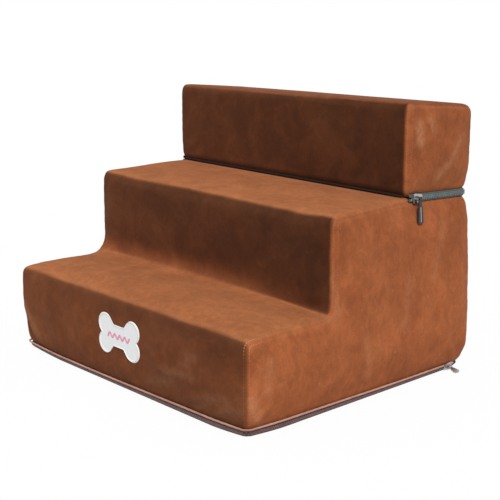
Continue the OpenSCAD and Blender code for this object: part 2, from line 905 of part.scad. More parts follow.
bottom_foam();
middle_foam();
top_foam();
step_runner();
left_side_panel();
right_side_panel();
back_panel();
deck_lining();
top_runner();
top_left_panel();
top_right_panel();
top_lining();
base_panel();
hem_band();
fold_seam();
flap_seam();
bone_label();
fold_zip_lower_tape();
fold_zip_lower_teeth();
fold_zip_upper_tape();
fold_zip_upper_teeth();
base_zip_upper_tape();
base_zip_upper_teeth();
base_zip_lower_tape();
base_zip_lower_teeth();
fold_zip_stops();
base_zip_stops();
fold_slider();
fold_pull();
fold_pull_line();
base_slider();
base_pull();
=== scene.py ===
import math
import bpy
import bmesh
import numpy as np
from mathutils import Vector, Matrix


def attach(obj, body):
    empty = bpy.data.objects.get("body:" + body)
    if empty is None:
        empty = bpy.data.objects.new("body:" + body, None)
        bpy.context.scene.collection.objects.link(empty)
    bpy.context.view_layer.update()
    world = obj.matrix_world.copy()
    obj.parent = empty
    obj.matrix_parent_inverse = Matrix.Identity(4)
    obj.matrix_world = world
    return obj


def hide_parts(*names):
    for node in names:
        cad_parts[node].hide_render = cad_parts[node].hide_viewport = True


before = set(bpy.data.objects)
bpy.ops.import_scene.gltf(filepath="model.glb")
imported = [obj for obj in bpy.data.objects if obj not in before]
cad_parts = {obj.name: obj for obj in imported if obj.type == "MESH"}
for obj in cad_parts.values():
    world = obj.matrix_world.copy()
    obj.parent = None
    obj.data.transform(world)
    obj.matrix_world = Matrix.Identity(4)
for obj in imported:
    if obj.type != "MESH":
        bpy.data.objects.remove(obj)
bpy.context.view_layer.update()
scene = bpy.context.scene


def report(stage):
    print("stairs:", stage)


# Sizes of the stairs in metres, as the solids have them

stairs = {
    "width": 0.400, "topWidth": 0.382, "riser": 0.100, "tread": 0.120, "topDepth": 0.110,
    "nosing": 0.009, "edge": 0.008, "inner": 0.020,
    "treadCrown": 0.0022, "topCrown": 0.0006, "riserCrown": 0.0012, "sideCrown": 0.0025,
    "crownReach": 0.045, "waistIn": 0.002, "backIn": 0.005, "waistReach": 0.036,
    "tuckIn": 0.004, "tuckReach": 0.026, "zipHalf": 0.004, "floorGap": 0.003, "gap": 0.0004,
    "tilt": 2.5, "topSag": 0.005, "topLean": 0.003, "nosingLift": 0.45,
}
halfW = stairs["width"] / 2
halfD = (2 * stairs["tread"] + stairs["topDepth"]) / 2
narrowIn = (stairs["width"] - stairs["topWidth"]) / 2
frontY, backY = -halfD, halfD
riser2Y = frontY + stairs["tread"]
riser3Y = riser2Y + stairs["tread"]
foldZ = 2 * stairs["riser"]
deckZ, topBaseZ = foldZ - stairs["gap"] / 2, foldZ + stairs["gap"] / 2
topZ = 3 * stairs["riser"]
flatW = halfW - stairs["edge"]


# Meshes

def newPiece(name, points, faces):
    mesh = bpy.data.meshes.new(name)
    mesh.from_pydata(np.asarray(points, float), [], [face for block in faces for face in block.tolist()])
    mesh.polygons.foreach_set("use_smooth", [True] * len(mesh.polygons))
    mesh.update()
    piece = bpy.data.objects.new(name, mesh)
    scene.collection.objects.link(piece)
    return piece


def gridFaces(rows, cols, closed=False):  # quads between neighbours of a grid of points
    i, j = np.arange(rows - 1)[:, None], np.arange(cols if closed else cols - 1)[None]
    here, there = i * cols + j, i * cols + (j + 1) % cols
    return np.stack([here, there, there + cols, here + cols], -1).reshape(-1, 4)


def fanFaces(ring, tip):  # triangles from a closed ring of point numbers to one tip
    return np.stack([ring, np.roll(ring, -1), np.full_like(ring, tip)], -1)


def tubeFaces(rings, count):  # rings of points joined in turn, then to the two tips that follow them
    ring, end = np.arange(count), rings * count
    return [gridFaces(rings, count, closed=True), fanFaces(ring, end)[:, [1, 0, 2]],
            fanFaces(ring + end - count, end + 1)]


def meshValues(mesh, kind="co"):  # the places of a mesh's points, or their normals
    values = np.empty(len(mesh.vertices) * 3)
    mesh.vertices.foreach_get(kind, values)
    return values.reshape(-1, 3)


def setPoints(mesh, points):
    mesh.vertices.foreach_set("co", np.asarray(points, float).ravel())
    mesh.update()


def baked(piece):  # the piece's mesh with its modifiers applied
    graph = bpy.context.evaluated_depsgraph_get()
    mesh = bpy.data.meshes.new_from_object(piece.evaluated_get(graph), depsgraph=graph)
    old = piece.data
    piece.modifiers.clear()
    piece.data = mesh
    bpy.data.meshes.remove(old)
    return mesh


def outward(piece):  # merges doubles and turns all faces outwards
    work = bmesh.new()
    work.from_mesh(piece.data)
    bmesh.ops.remove_doubles(work, verts=work.verts, dist=1e-6)
    bmesh.ops.recalc_face_normals(work, faces=work.faces)
    work.to_mesh(piece.data)
    work.free()
    piece.data.update()


# The cushions' form

def outlinePoints(corners, inset, crownShare, spacing=0.003):
    # Arcs at the corners of a flat outline, joined by straight stretches bowed out by a parabola.
    place = np.array([c[:2] for c in corners])
    count = len(corners)
    pts = []
    along = np.roll(place, -1, 0) - place
    length = np.hypot(*along.T)
    along = along / length[:, None]

    def moved(k):  # corner k moved inside by the inset, and its radius there
        a, b = along[k - 1], along[k]
        na, nb = np.array([-a[1], a[0]]), np.array([-b[1], b[0]])
        turn = a[0] * b[1] - a[1] * b[0]
        r = corners[k][2]
        return place[k] + inset * (na + nb) / (1 + a @ b), (r - inset * np.sign(turn) if r else 0)

    for k in range(count):
        a, b = along[k - 1], along[k]
        v, r = moved(k)
        if corners[k][2]:
            steps = max(4, int(corners[k][2] * math.pi / 2 / spacing * 2))
            t = np.linspace(0, math.pi / 2, steps + 1)[:, None]
            pts.append(v - r * a + r * b + r * (a * np.sin(t) - b * np.cos(t)))
        else:
            pts.append(v[None])
        w, r2 = moved((k + 1) % count)
        start, end = v + b * r, w - b * r2
        steps = max(2, int(length[k] / spacing))
        f = np.linspace(0, 1, steps + 1)[1:-1, None]
        out = np.array([b[1], -b[0]])
        pts.append(start + (end - start) * f + out * corners[k][3] * crownShare * 4 * f * (1 - f))
    return np.concatenate(pts)


def eased(v, low, high):  # 0 below low and 1 above high, smoothly
    t = np.clip((v - low) / (high - low), 0, 1)
    return t * t * (3 - 2 * t)


def soft(d, reach):  # 1 at 0 and 0 past the reach, smoothly
    return eased(-d, -reach, 0)


def bell(v, middle, wide):  # 1 at the middle, falling off to both sides by the square of the distance
    return np.exp(-((v - middle) / wide) ** 2)


def pinch(z, level, reach):  # 1 within half a zip's height of a level, fading with a square over its reach
    n = np.maximum(0, 1 - np.maximum(0, np.abs(z - level) - stairs["zipHalf"]) / reach)
    return n * n


tilt = math.radians(stairs["tilt"])


def tiltRise(y, z):
    # How far the tilt of the top step's seat lifts a place: in full on the zip's plane, which turns
    # about the back, less at the nosing below it and not at all under the second riser's foot.
    up = np.clip((z - stairs["riser"]) / (foldZ - stairs["riser"]), 0, 1)
    before = np.maximum(0, riser3Y - y) / stairs["tread"]
    along = np.where(y < riser3Y, stairs["topDepth"] * (1 - (1 - stairs["nosingLift"]) * before), backY - y)
    return math.tan(tilt) * along * up * up


def sagDrop(x, y, z):  # how much lower the top step's upper part lies at the back and at its left end
    up = np.maximum(0, (z - foldZ) / (topZ - foldZ))
    back = np.maximum(0, (y - riser3Y) / stairs["topDepth"])
    return up * (stairs["topSag"] * back - stairs["topLean"] * x / halfW)


def unlifted(p):  # places of the finished form taken back to before the tilt, by three rounds of guessing
    z = p[:, 2]
    for _ in range(3):
        z = p[:, 2] - tiltRise(p[:, 1], z) + sagDrop(p[:, 0], p[:, 1], z)
    return np.column_stack([p[:, :2], z])


def onFoldPlane(p):  # a zip's points turned about the back by the tilt
    y, z = p[:, 1] - backY, p[:, 2] - foldZ
    c, s = math.cos(tilt), math.sin(tilt)
    return np.column_stack([p[:, 0], backY + y * c + z * s, foldZ - y * s + z * c])


def narrowing(y, z):  # how much narrower each side is, growing from the second riser back to the top step
    up = np.minimum(1, z / foldZ)
    return narrowIn * up * up * np.clip((y - riser2Y) / stairs["tread"], 0, 1)


def drawnIn(p):
    # The cover drawn in towards its middle by the two zips, narrowed up to the top step and tilted.
    x, y, z = p.T
    waist = pinch(z, foldZ, stairs["waistReach"])
    tuck = stairs["tuckIn"] * pinch(z, 0, stairs["tuckReach"])
    side = stairs["waistIn"] * waist + narrowing(y, z) + tuck
    backShare = np.maximum(0, (y - riser3Y) / (backY - riser3Y))
    return np.stack([x * (1 - side / halfW), y - stairs["backIn"] * waist * backShare - tuck * y / halfD,
                     z + tiltRise(y, z) - sagDrop(x, y, z)], -1)


def riseFrom(d):  # 0 at an edge and 1 beyond the crown's reach, along a parabola
    n = np.maximum(0, 1 - np.maximum(0, d - stairs["edge"]) / stairs["crownReach"])
    return 1 - n * n


def bulge(q, boxes):
    y, z = q[..., 0], q[..., 1]
    return np.max([riseFrom(y - b[0]) * riseFrom(b[1] - y) * riseFrom(z - b[2]) * riseFrom(b[3] - z)
                   for b in boxes], 0)


cushion = {"edgeRings": 7, "sideRings": 26, "middleRings": 97, "crownFade": 0.75}  # fading sideways


def cushionRings(corners, boxes, middle, depth=0.0, crown=1.0, spacing=0.003):
    # An outline carried across the width, drawn in round the two side edges by quarter circles and
    # closed by two domed sides that shrink it towards a middle point.
    edge, middle, rightSide = stairs["edge"], np.array(middle), []
    for a in np.linspace(0, math.pi / 2, cushion["edgeRings"])[1:]:
        q = outlinePoints(corners, edge - (edge - depth) * math.cos(a), 0, spacing)
        rightSide.append((flatW + (edge - depth) * math.sin(a), q))
    rim = outlinePoints(corners, edge, 0, spacing)
    for share in np.linspace(1, 0, cushion["sideRings"])[1:-1]:
        q = middle + share * (rim - middle)
        rightSide.append((halfW - depth + stairs["sideCrown"] * crown * bulge(q, boxes), q))

    def ring(x, q):
        return np.stack([np.broadcast_to(x, len(q)), q[:, 0], q[:, 1]], -1)

    rings = [ring(-x, q) for x, q in reversed(rightSide)]
    for x in np.linspace(-flatW, flatW, cushion["middleRings"]):
        crownShare = 1 - cushion["crownFade"] * (x / flatW) ** 2
        rings.append(ring(x, outlinePoints(corners, depth, crownShare, spacing)))
    rings += [ring(x, q) for x, q in rightSide]
    tipX = halfW - depth + stairs["sideCrown"] * crown * bulge(middle, boxes)
    tips = np.array([[-tipX, *middle], [tipX, *middle]])
    return drawnIn(np.concatenate(rings + [tips])), tubeFaces(len(rings), len(rings[0]))


floorZ, riserZ, nosing = stairs["floorGap"], stairs["riser"], stairs["nosing"]
flatCrown, frontCrown = stairs["treadCrown"], stairs["riserCrown"]
lowerCorners = [  # y, z, radius and the crown of the stretch that follows
    (frontY, floorZ, nosing, 0), (backY, floorZ, nosing, flatCrown), (backY, deckZ, nosing, 0),
    (riser3Y, deckZ, 0, flatCrown), (riser2Y, deckZ, nosing, frontCrown),
    (riser2Y, riserZ, stairs["inner"], flatCrown), (frontY, riserZ, nosing, frontCrown),
]
upperCorners = [
    (riser3Y, topBaseZ, nosing, 0), (backY, topBaseZ, nosing, flatCrown),
    (backY, topZ, nosing, stairs["topCrown"]), (riser3Y, topZ, nosing, frontCrown),
]
lowerBoxes = [(frontY, backY, floorZ, riserZ), (riser2Y, backY, floorZ, deckZ)]
upperBoxes = [(riser3Y, backY, topBaseZ, topZ)]
lowerMiddle = (riser2Y + stairs["tread"] * 0.4, riserZ * 0.6)
upperMiddle = ((riser3Y + backY) / 2, (topBaseZ + topZ) / 2)

foot = {
    "corners": {  # side, end: draw, reach, height
        (-1, -1): (0.0062, 0.085, 0.060), (1, -1): (0.0065, 0.055, 0.028),
        (-1, 1): (0.0060, 0.036, 0.034), (1, 1): (0.0080, 0.036, 0.028),
    },
    "fadeAlong": 1.5, "fadeUp": 1.3,
    "dropNear": 0.0008, "dropFar": 0.0034, "dropReach": 0.27,  # the hem's level, from the front right corner
    "dropFrom": 0.0030, "dropFull": 0.0090, "dropPast": 0.0120, "dropEnd": 0.0400,
}


def tucked(p):
    # Each corner is drawn in at the foot, which rounds it. All round, the level of the hem hangs lower
    # over the zip, least at the front right corner.
    x, y, z = p.T
    inX, inY = np.zeros(len(p)), np.zeros(len(p))
    for (side, end), (draw, reach, height) in foot["corners"].items():
        near = np.clip(1 - np.hypot(x - side * halfW, y - end * halfD) / reach, 0, 1) ** foot["fadeAlong"]
        inward = draw * near * np.clip(1 - z / height, 0, 1) ** foot["fadeUp"]
        inX, inY = inX - side * inward, inY - end * inward
    away = eased(np.hypot(x - halfW, y - frontY), 0, foot["dropReach"])
    drop = foot["dropNear"] + (foot["dropFar"] - foot["dropNear"]) * away
    level = eased(z, foot["dropFrom"], foot["dropFull"]) * (1 - eased(z, foot["dropPast"], foot["dropEnd"]))
    return np.column_stack([x + inX, y + inY, z - drop * level])


hollow = {"press": 0.0048, "band": 0.006, "from": 0.02, "to": 0.16}


def pressedIn(p):
    # The round of the first step's hollow, pressed further into its corner towards the right end: a bell
    # of the angle round the hollow's axis, fading beside the surface.
    flat, r = unlifted(p), stairs["inner"]
    dy, dz = flat[:, 1] - riser2Y + r, stairs["riser"] + r - flat[:, 2]
    press = np.where((dy > 0) & (dz > 0), np.sin(2 * np.arctan2(dz, dy)) ** 2, 0)
    press = press * soft(np.abs(np.hypot(dy, dz) - r), hollow["band"])
    press = press * eased(p[:, 0], hollow["from"], hollow["to"])
    return p + (hollow["press"] * press)[:, None] * np.array([0, 1, -1]) / math.sqrt(2)


seamLine = {"spacing": 0.004, "block": 6000}  # the points that are worked on at once


def acrossSeam(points, corners):
    # How far a point lies across the sewn edge between strip and side, in metres along the surface:
    # negative on the strip, positive on the side. Also how far along the outline it is, from a corner.
    points = unlifted(points)
    line = outlinePoints(corners, 0, 0, seamLine["spacing"])
    a, d = line, np.roll(line, -1, 0) - line
    size = np.hypot(*d.T)
    start = np.concatenate([[0], np.cumsum(size)[:-1]])
    inset, run = np.empty(len(points)), np.empty(len(points))
    for at in range(0, len(points), seamLine["block"]):
        some = slice(at, at + seamLine["block"])
        q = points[some, None, 1:]
        t = np.clip(((q - a) * d).sum(-1) / (size ** 2), 0, 1)
        gap = np.hypot(*np.moveaxis(q - a - t[..., None] * d, -1, 0))
        best = gap.argmin(1)
        rows = np.arange(len(best))
        inset[some] = gap[rows, best]
        run[some] = start[best] + t[rows, best] * size[best]
    x = np.abs(points[:, 0]) + narrowing(points[:, 1], points[:, 2])
    r = stairs["edge"]
    angle = np.arctan2(np.maximum(0, x - flatW), np.maximum(1e-6, r - inset))
    across = np.where(x < flatW, x - flatW - r * math.pi / 4,
                      np.where(inset > r, inset - r + r * math.pi / 4, r * (angle - math.pi / 4)))
    return across, run


# Cloth

clothPass = {"voxel": 0.005, "frames": 20, "cap": 0.0035, "sink": 0.0006, "evening": 4, "pinLevels": 10}
clothValues = {
    "quality": 6, "mass": 0.3, "air_damping": 2.0, "tension_stiffness": 20, "compression_stiffness": 20,
    "shear_stiffness": 8, "bending_stiffness": 0.6, "use_pressure": True, "uniform_pressure_force": 4.0,
    "shrink_min": -0.012, "vertex_group_mass": "pin",
}


def evened(mesh, values, rounds):  # each value moves halfway to the mean of its neighbours, some rounds over
    ends = np.empty(len(mesh.edges) * 2, np.int32)
    mesh.edges.foreach_get("vertices", ends)
    a, b = ends.reshape(-1, 2).T
    count = np.maximum(1, np.bincount(ends, minlength=len(values)))
    for _ in range(rounds):
        around = np.bincount(a, values[b], len(values)) + np.bincount(b, values[a], len(values))
        values = (values + around / count) / 2
    return values


meeting = {
    "held": 0.80, "from": -0.050, "full": -0.010, "low": 0.270, "high": 0.298,
    "band": 0.015, "before": 0.008, "below": 0.010, "deep": 0.014,
}


def meetingShare(p):
    # The second tread and the top step's front lie on each other once the top step is tipped forward,
    # so both swell less: the tread towards its back, the front up to near its nosing.
    _, y, z = unlifted(p).T
    tread = (z > foldZ - meeting["band"]) & (z < foldZ + meeting["band"]) & (y < riser3Y - meeting["before"])
    front = (z > foldZ - meeting["below"]) & (np.abs(y - riser3Y) < meeting["deep"])
    share = np.maximum(tread * eased(y, meeting["from"], meeting["full"]),
                       front * (1 - eased(z, meeting["low"], meeting["high"])))
    return meeting["held"] * share


def swollenPoints(piece, weight):  # the piece's points after some frames as cloth under pressure
    group = piece.vertex_groups.new(name="pin")
    step = 1 / clothPass["pinLevels"]
    for level in np.linspace(step, 1, clothPass["pinLevels"]):
        group.add(np.flatnonzero(np.abs(weight - level) <= step / 2).tolist(), float(level), "REPLACE")
    cloth = piece.modifiers.new("cloth", "CLOTH")
    for label, value in clothValues.items():
        setattr(cloth.settings, label, value)
    cloth.settings.effector_weights.gravity = 0
    cloth.collision_settings.use_collision = False
    cloth.point_cache.frame_start, cloth.point_cache.frame_end = 1, clothPass["frames"]
    for f in range(1, clothPass["frames"] + 1):
        scene.frame_set(f)
    graph = bpy.context.evaluated_depsgraph_get()
    points = meshValues(piece.evaluated_get(graph).to_mesh()).copy()
    piece.evaluated_get(graph).to_mesh_clear()
    piece.modifiers.clear()
    piece.vertex_groups.clear()
    scene.frame_set(1)
    return points


def puffUp(piece, pins):
    # Cloth under pressure on a remeshed copy: pinned points stay, the rest swells by at most the cap.
    form = piece.copy()
    form.data = piece.data.copy()
    scene.collection.objects.link(form)
    remesh = piece.modifiers.new("remesh", "REMESH")
    remesh.mode, remesh.voxel_size = "VOXEL", clothPass["voxel"]
    baked(piece)
    wrap = piece.modifiers.new("wrap", "SHRINKWRAP")
    wrap.target, wrap.wrap_method = form, "NEAREST_SURFACEPOINT"
    mesh = baked(piece)
    rest = meshValues(mesh)
    bpy.data.objects.remove(form)
    weight = np.maximum(pins(rest), meetingShare(rest))
    swollen = swollenPoints(piece, weight)
    normal = meshValues(mesh, "normal")
    along = ((swollen - rest) * normal).sum(1)
    kept = np.clip(along, -clothPass["sink"], clothPass["cap"]) * (1 - weight)
    kept = evened(mesh, kept, clothPass["evening"])
    setPoints(mesh, rest + normal * kept[:, None])
    most = [round(float(v.max()) * 1000, 2) for v in (along, kept)]
    print("stairs: swelled", piece.name, "by up to", most[0], "mm, kept", most[1])
    fine = piece.modifiers.new("fine", "SUBSURF")
    fine.levels = fine.render_levels = 1
    baked(piece)


def segmentShares(points, a, b):  # how far along the line from a to b the nearest place is, from 0 to 1
    d = b - a
    return np.clip(((points - a) @ d) / (d @ d), 0, 1)


ridge = {"dip": 0.45, "dipAt": 2.1, "ends": 0.7}


def foldHeight(points, folds):
    # Ridges along short lines: each a bell across its line with a shallow dip beside it, and a half
    # sine along it.
    total = np.zeros(len(points))
    for *ends, width, height in np.array(folds) / 1000:
        a, b = np.array(ends[:3]), np.array(ends[3:])
        t = segmentShares(points, a, b)
        near = np.linalg.norm(points - a - t[:, None] * (b - a), axis=1)
        across = bell(near, 0, width) - ridge["dip"] * bell(near, ridge["dipAt"] * width, width)
        total += height * np.sin(math.pi * t) ** ridge["ends"] * across
    return total


def unevenHeight(points, seed, waves, amount):
    # A sum of plane waves in random directions, for the small unevenness of cloth over foam.
    rng = np.random.RandomState(seed)
    total = np.zeros(len(points))
    for length in waves:
        d = rng.normal(size=3)
        d /= np.linalg.norm(d)
        total += np.sin(points @ d * 2 * math.pi / length + rng.uniform(0, 6.28)) * length
    return total * amount / np.sum(waves)


pinned = {
    "seam": 0.007, "front": 0.012, "patchZ": 0.058,
    "patchHalf": (0.036, 0.022), "patchFade": (0.020, 0.015),  # each across, then up
    "deckZ": 0.19, "deckFade": 0.012, "low": (0.009, 0.012), "zip": (0.207, 0.012),  # level and fade
    "top": 0.85, "topFrom": 0.012, "topFade": 0.008,
}


def lowerPins(p):  # the sewn edges, the zips' lines, the floor side, the deck and the patch stay
    across, _ = acrossSeam(p, lowerCorners)
    x, y, z = unlifted(p).T
    (wide, high), (fadeX, fadeZ), low = pinned["patchHalf"], pinned["patchFade"], pinned["low"]
    patch = (y < frontY + pinned["front"]) * soft(np.abs(x) - wide, fadeX)
    patch = patch * soft(np.abs(z - pinned["patchZ"]) - high, fadeZ)
    deck = (z > pinned["deckZ"]) * np.clip((y - riser3Y + pinned["deckFade"]) / pinned["deckFade"], 0, 1)
    held = [soft(np.abs(across), pinned["seam"]), patch, deck, soft(z - low[0], low[1])]
    return np.clip(np.maximum.reduce(held), 0, 1)


def upperPins(p):  # the sewn edges, the zip's line and most of the top stay
    across, _ = acrossSeam(p, upperCorners)
    z, zipLine = unlifted(p)[:, 2], pinned["zip"]
    top = pinned["top"] * np.clip((z - topZ + pinned["topFrom"]) / pinned["topFade"], 0, 1)
    held = [soft(np.abs(across), pinned["seam"]), soft(z - zipLine[0], zipLine[1]), top]
    return np.clip(np.maximum.reduce(held), 0, 1)


# Painted shade: how much darker the risers, the upper sides and the top are made, by facing and height.
paintedShadeLook = {
    "riser": 0.570, "higher": 0.214, "rightward": 0.035, "rightHigher": 0.030,  # the first riser, the others
    "foot": 0.55, "footReach": 0.034, "footDepth": 0.04, "footLess": 0.8, "footRight": (0.0, 0.16),
    "top": 0.5, "side": 0.20, "rise": (0.055, 0.125), "sideRise": (0.04, 0.26),
    "edge": (0.0050, 0.0090),  # where the dark ends before the right side, above the first step
    "frontFacing": (0.45, 0.80), "sideFacing": (0.5, 0.9), "upFacing": (0.45, 0.90), "topBand": (0.02, 0.01),
}


def paintedShadeShares(p, normal):
    # How much painted shade the suede gets by the way each place faces, together with the nap's own darker
    # look: most on the risers, more the higher they are, and least by the hollow where a riser meets its
    # tread. The second value tells how far a place faces up, the top left out.
    x, y, z = unlifted(p).T
    front = eased(-normal[:, 1], *paintedShadeLook["frontFacing"])
    height = eased(z, *paintedShadeLook["rise"])
    low = soft(np.abs(z - riserZ), paintedShadeLook["footReach"]) * (np.abs(y - riser2Y) < paintedShadeLook["footDepth"])
    low *= 1 - paintedShadeLook["footLess"] * eased(x, *paintedShadeLook["footRight"])
    edge = halfW - narrowing(y, z) - x
    front *= np.maximum(y < riser2Y - paintedShadeLook["footDepth"], eased(edge, *paintedShadeLook["edge"]))
    slope = paintedShadeLook["rightward"] + paintedShadeLook["rightHigher"] * height
    dark = paintedShadeLook["riser"] + paintedShadeLook["higher"] * height + slope * x / halfW
    dark *= front * (1 - paintedShadeLook["foot"] * low)
    side = paintedShadeLook["side"] * eased(np.abs(normal[:, 0]), *paintedShadeLook["sideFacing"])
    side = side * eased(z, *paintedShadeLook["sideRise"])
    onTop = np.clip((z - topZ + paintedShadeLook["topBand"][0]) / paintedShadeLook["topBand"][1], 0, 1)
    up = eased(normal[:, 2], *paintedShadeLook["upFacing"])
    return np.maximum.reduce([dark, side, paintedShadeLook["top"] * up * onTop]), up * (1 - onTop)


brushMarks = [  # in millimetres: start, end and half width of each stroke of brushed pile, then its strength
    (191, 79, 284, 191, 81, 264, 5.5, 0.75), (191, 96, 286, 191, 99, 276, 4.5, 0.6),
    (191, 146, 262, 191, 126, 236, 4.5, 0.6), (191, 128, 238, 191, 113, 224, 6, 0.6),
    (-192, -178.5, 55, -162, -178.5, 14, 4.2, 0.9), (-170, -178.5, 40, -158, -178.5, 22, 3.8, 0.5),
    (60, -178.5, 24, 85, -178.5, 34, 5.6, 0.5), (85, -178.5, 42, 112, -178.5, 46, 5, 0.6),
    (112, -178.5, 56, 121, -178.5, 68, 4.2, 0.45), (118, -178.5, 12, 150, -178.5, 30, 5.2, 0.8),
    (152, -178.5, 10, 184, -178.5, 26, 5.8, 0.9), (170, -178.5, 34, 186, -178.5, 24, 4.4, 0.6),
    (200, -168, 38, 200, -156, 12, 6, 0.5), (200, -146, 75, 200, -150, 45, 5, 0.25),
    (200, -60, 150, 200, -48, 105, 6, 0.25), (200, 60, 120, 200, 50, 70, 7, 0.22),
    (200, 120, 170, 200, 100, 120, 6, 0.22), (200, -10, 70, 200, -4, 30, 6, 0.25),
    (-200, 20, 120, -200, 35, 70, 7, 0.3), (-191, 110, 280, -191, 130, 240, 5.5, 0.45),
    (-80, 176, 120, -60, 176, 70, 8, 0.3), (90, 176, 270, 70, 176, 235, 6, 0.35),
]
brushSquash = [0.35, 1, 1]


def brushShare(p):
    total = np.zeros(len(p))
    for *ends, width, strength in brushMarks:
        a, b = np.array(ends[:3]) / 1000, np.array(ends[3:]) / 1000
        t = segmentShares(p, a, b)
        near = np.linalg.norm((p - a - t[:, None] * (b - a)) * brushSquash, axis=1)
        total = np.maximum(total, strength * bell(near, 0, width / 1000))
    return total


frayed = {"at": (0.199, -0.172, 0.098), "reach": 0.018}


def frayedShare(p):  # where the stitches show light, at the right end of the first nosing
    return soft(np.linalg.norm(p - np.array(frayed["at"]), axis=1), frayed["reach"])


coverFolds = {  # in millimetres: start, end, half width and height of each fold
    "lower": [
        (-192, -176, 55, -160, -176, 12, 4.5, 2.2), (-198, -176, 42, -180, -176, 10, 4, -2),
        (-170, -176, 48, -140, -176, 14, 5, 1.2), (105, -176, 16, 150, -176, 34, 4, 1.4),
        (150, -176, 12, 185, -176, 30, 4, 1.4), (60, -176, 40, 120, -176, 46, 6, 0.8),
        (85, -30, 201, 150, -18, 201, 3, 1.2), (110, -12, 201, 165, -4, 201, 2.8, 1),
        (130, -44, 200, 190, -36, 200, 3.2, 1.2), (60, 12, 201, 120, 18, 201, 3, 0.8),
        (140, -150, 101, 190, -135, 101, 4, 1.2), (110, -120, 101, 170, -105, 101, 4, 0.8),
        (-120, -110, 101, -30, -100, 101, 4.5, 0.7), (199, -165, 12, 199, -140, 36, 4, 1.2),
        (199, 150, 14, 199, 120, 45, 5, 1.2), (193, 165, 192, 197, 140, 165, 5, 1.2),
        (193, 110, 192, 197, 104, 160, 4.5, 1), (-199, 150, 14, -199, 120, 45, 5, 1.2),
        (-199, -160, 14, -199, -130, 45, 5, 1.4), (-150, 174, 190, -135, 176, 150, 5, 1.2),
        (100, 174, 190, 90, 176, 155, 5, 1.1), (20, 174, 12, 30, 176, 45, 5, 1.1),
    ],
    "upper": [
        (191, 150, 212, 192, 120, 262, 6, 1.3), (191, 90, 290, 192, 98, 245, 4.5, 1.2),
        (191, 106, 288, 192, 110, 255, 4, 0.9), (-191, 150, 212, -192, 125, 255, 6, 1.3),
        (150, 64, 212, 175, 64, 235, 5, 1), (-175, 64, 215, -150, 64, 240, 5, 1),
        (-100, 174, 212, -90, 176, 250, 5.5, 1.2), (60, 174, 212, 75, 176, 245, 5.5, 1.2),
    ],
}
seat = {"gap": 0.0005, "near": 0.004, "from": 0.002}


def seated(p):  # both covers stay clear of the top step's seat plane, so that the linings lie free
    plane = foldZ + math.tan(tilt) * (backY - p[:, 1])
    off = p[:, 2] - plane
    near = (p[:, 1] > riser3Y + seat["from"]) & (np.abs(off) < seat["near"])
    z = np.where(near & (off < 0), np.minimum(p[:, 2], plane - seat["gap"]), p[:, 2])
    z = np.where(near & (off >= 0), np.maximum(z, plane + seat["gap"]), z)
    return np.column_stack([p[:, :2], z])


dress = {
    "waves": [0.11, 0.09, 0.075, 0.13, 0.06, 0.05], "uneven": 0.0014,
    "pucker": 0.00010, "puckerLength": 0.012, "puckerAt": 0.004, "swayPerMetre": 90, "sway": 1.6,
    "foldRise": 1.4, "foldLeast": 0.15, "seamDip": 0.0004, "seamWide": 0.0038,
    "nosingFrom": 0.05, "nosingFlat": 0.004, "nosingFade": 0.012,
}


def dressCover(piece, corners, folds, seed, pins):
    # After the cloth pass: small waves and folds along the normals, puckers beside the sewn edges and the
    # values that the suede's pattern, its painted shade and its painted light follow.
    mesh = piece.data
    p, normal = meshValues(mesh), meshValues(mesh, "normal")
    across, run = acrossSeam(p, corners)
    free = 1 - pins(p)
    lift = unevenHeight(p, seed, dress["waves"], dress["uneven"]) * free
    lift += foldHeight(p, folds) * np.clip(free * dress["foldRise"] + dress["foldLeast"], 0, 1)
    sway = np.sin(run * dress["swayPerMetre"]) * dress["sway"]
    pucker = np.sin(run * 2 * math.pi / dress["puckerLength"] + sway)
    pucker = pucker * bell(np.abs(across), dress["puckerAt"], dress["puckerAt"])
    lift += pucker * dress["pucker"]
    lift -= dress["seamDip"] * bell(across, 0, dress["seamWide"])  # the seam draws the cloth in
    setPoints(mesh, seated(tucked(pressedIn(p + normal * lift[:, None]))))
    # Painted highlight: lighter near the outline's corners above the floor, mostly the nosings.
    nosingHighlight, flat = np.zeros(len(p)), unlifted(p)
    for y, z, _, _ in corners:
        if z > dress["nosingFrom"]:
            off = np.hypot(flat[:, 1] - y, flat[:, 2] - z)
            nosingHighlight = np.maximum(nosingHighlight, soft(off - dress["nosingFlat"], dress["nosingFade"]))
    dark, up = paintedShadeShares(p, meshValues(mesh, "normal"))
    for label, values in (("across", across), ("run", run), ("nosingHighlight", np.clip(nosingHighlight, 0, 1)), ("paintedShade", dark),
                          ("upward", up), ("brushed", brushShare(p)), ("frayed", frayedShare(p))):
        layer = mesh.attributes.new(label, "FLOAT", "POINT")
        layer.data.foreach_set("value", np.asarray(values, np.float32))


opening = {"level": 0.0048, "thick": 0.0012}


def openBottom(piece):  # cuts the floor side away, so that the cover is open where the zip opens it
    work = bmesh.new()
    work.from_mesh(piece.data)
    everything = work.verts[:] + work.edges[:] + work.faces[:]
    bmesh.ops.bisect_plane(work, geom=everything, plane_co=(0, 0, opening["level"]), plane_no=(0, 0, -1),
                           clear_outer=True)
    work.to_mesh(piece.data)
    work.free()
    thick = piece.modifiers.new("cloth thickness", "SOLIDIFY")
    thick.thickness, thick.offset, thick.use_rim = opening["thick"], -1, True


def coverPiece(name, corners, boxes, middle, pins, folds, seed):
    piece = newPiece(name, *cushionRings(corners, boxes, middle))
    puffUp(piece, pins)
    dressCover(piece, corners, folds, seed, pins)
    return piece


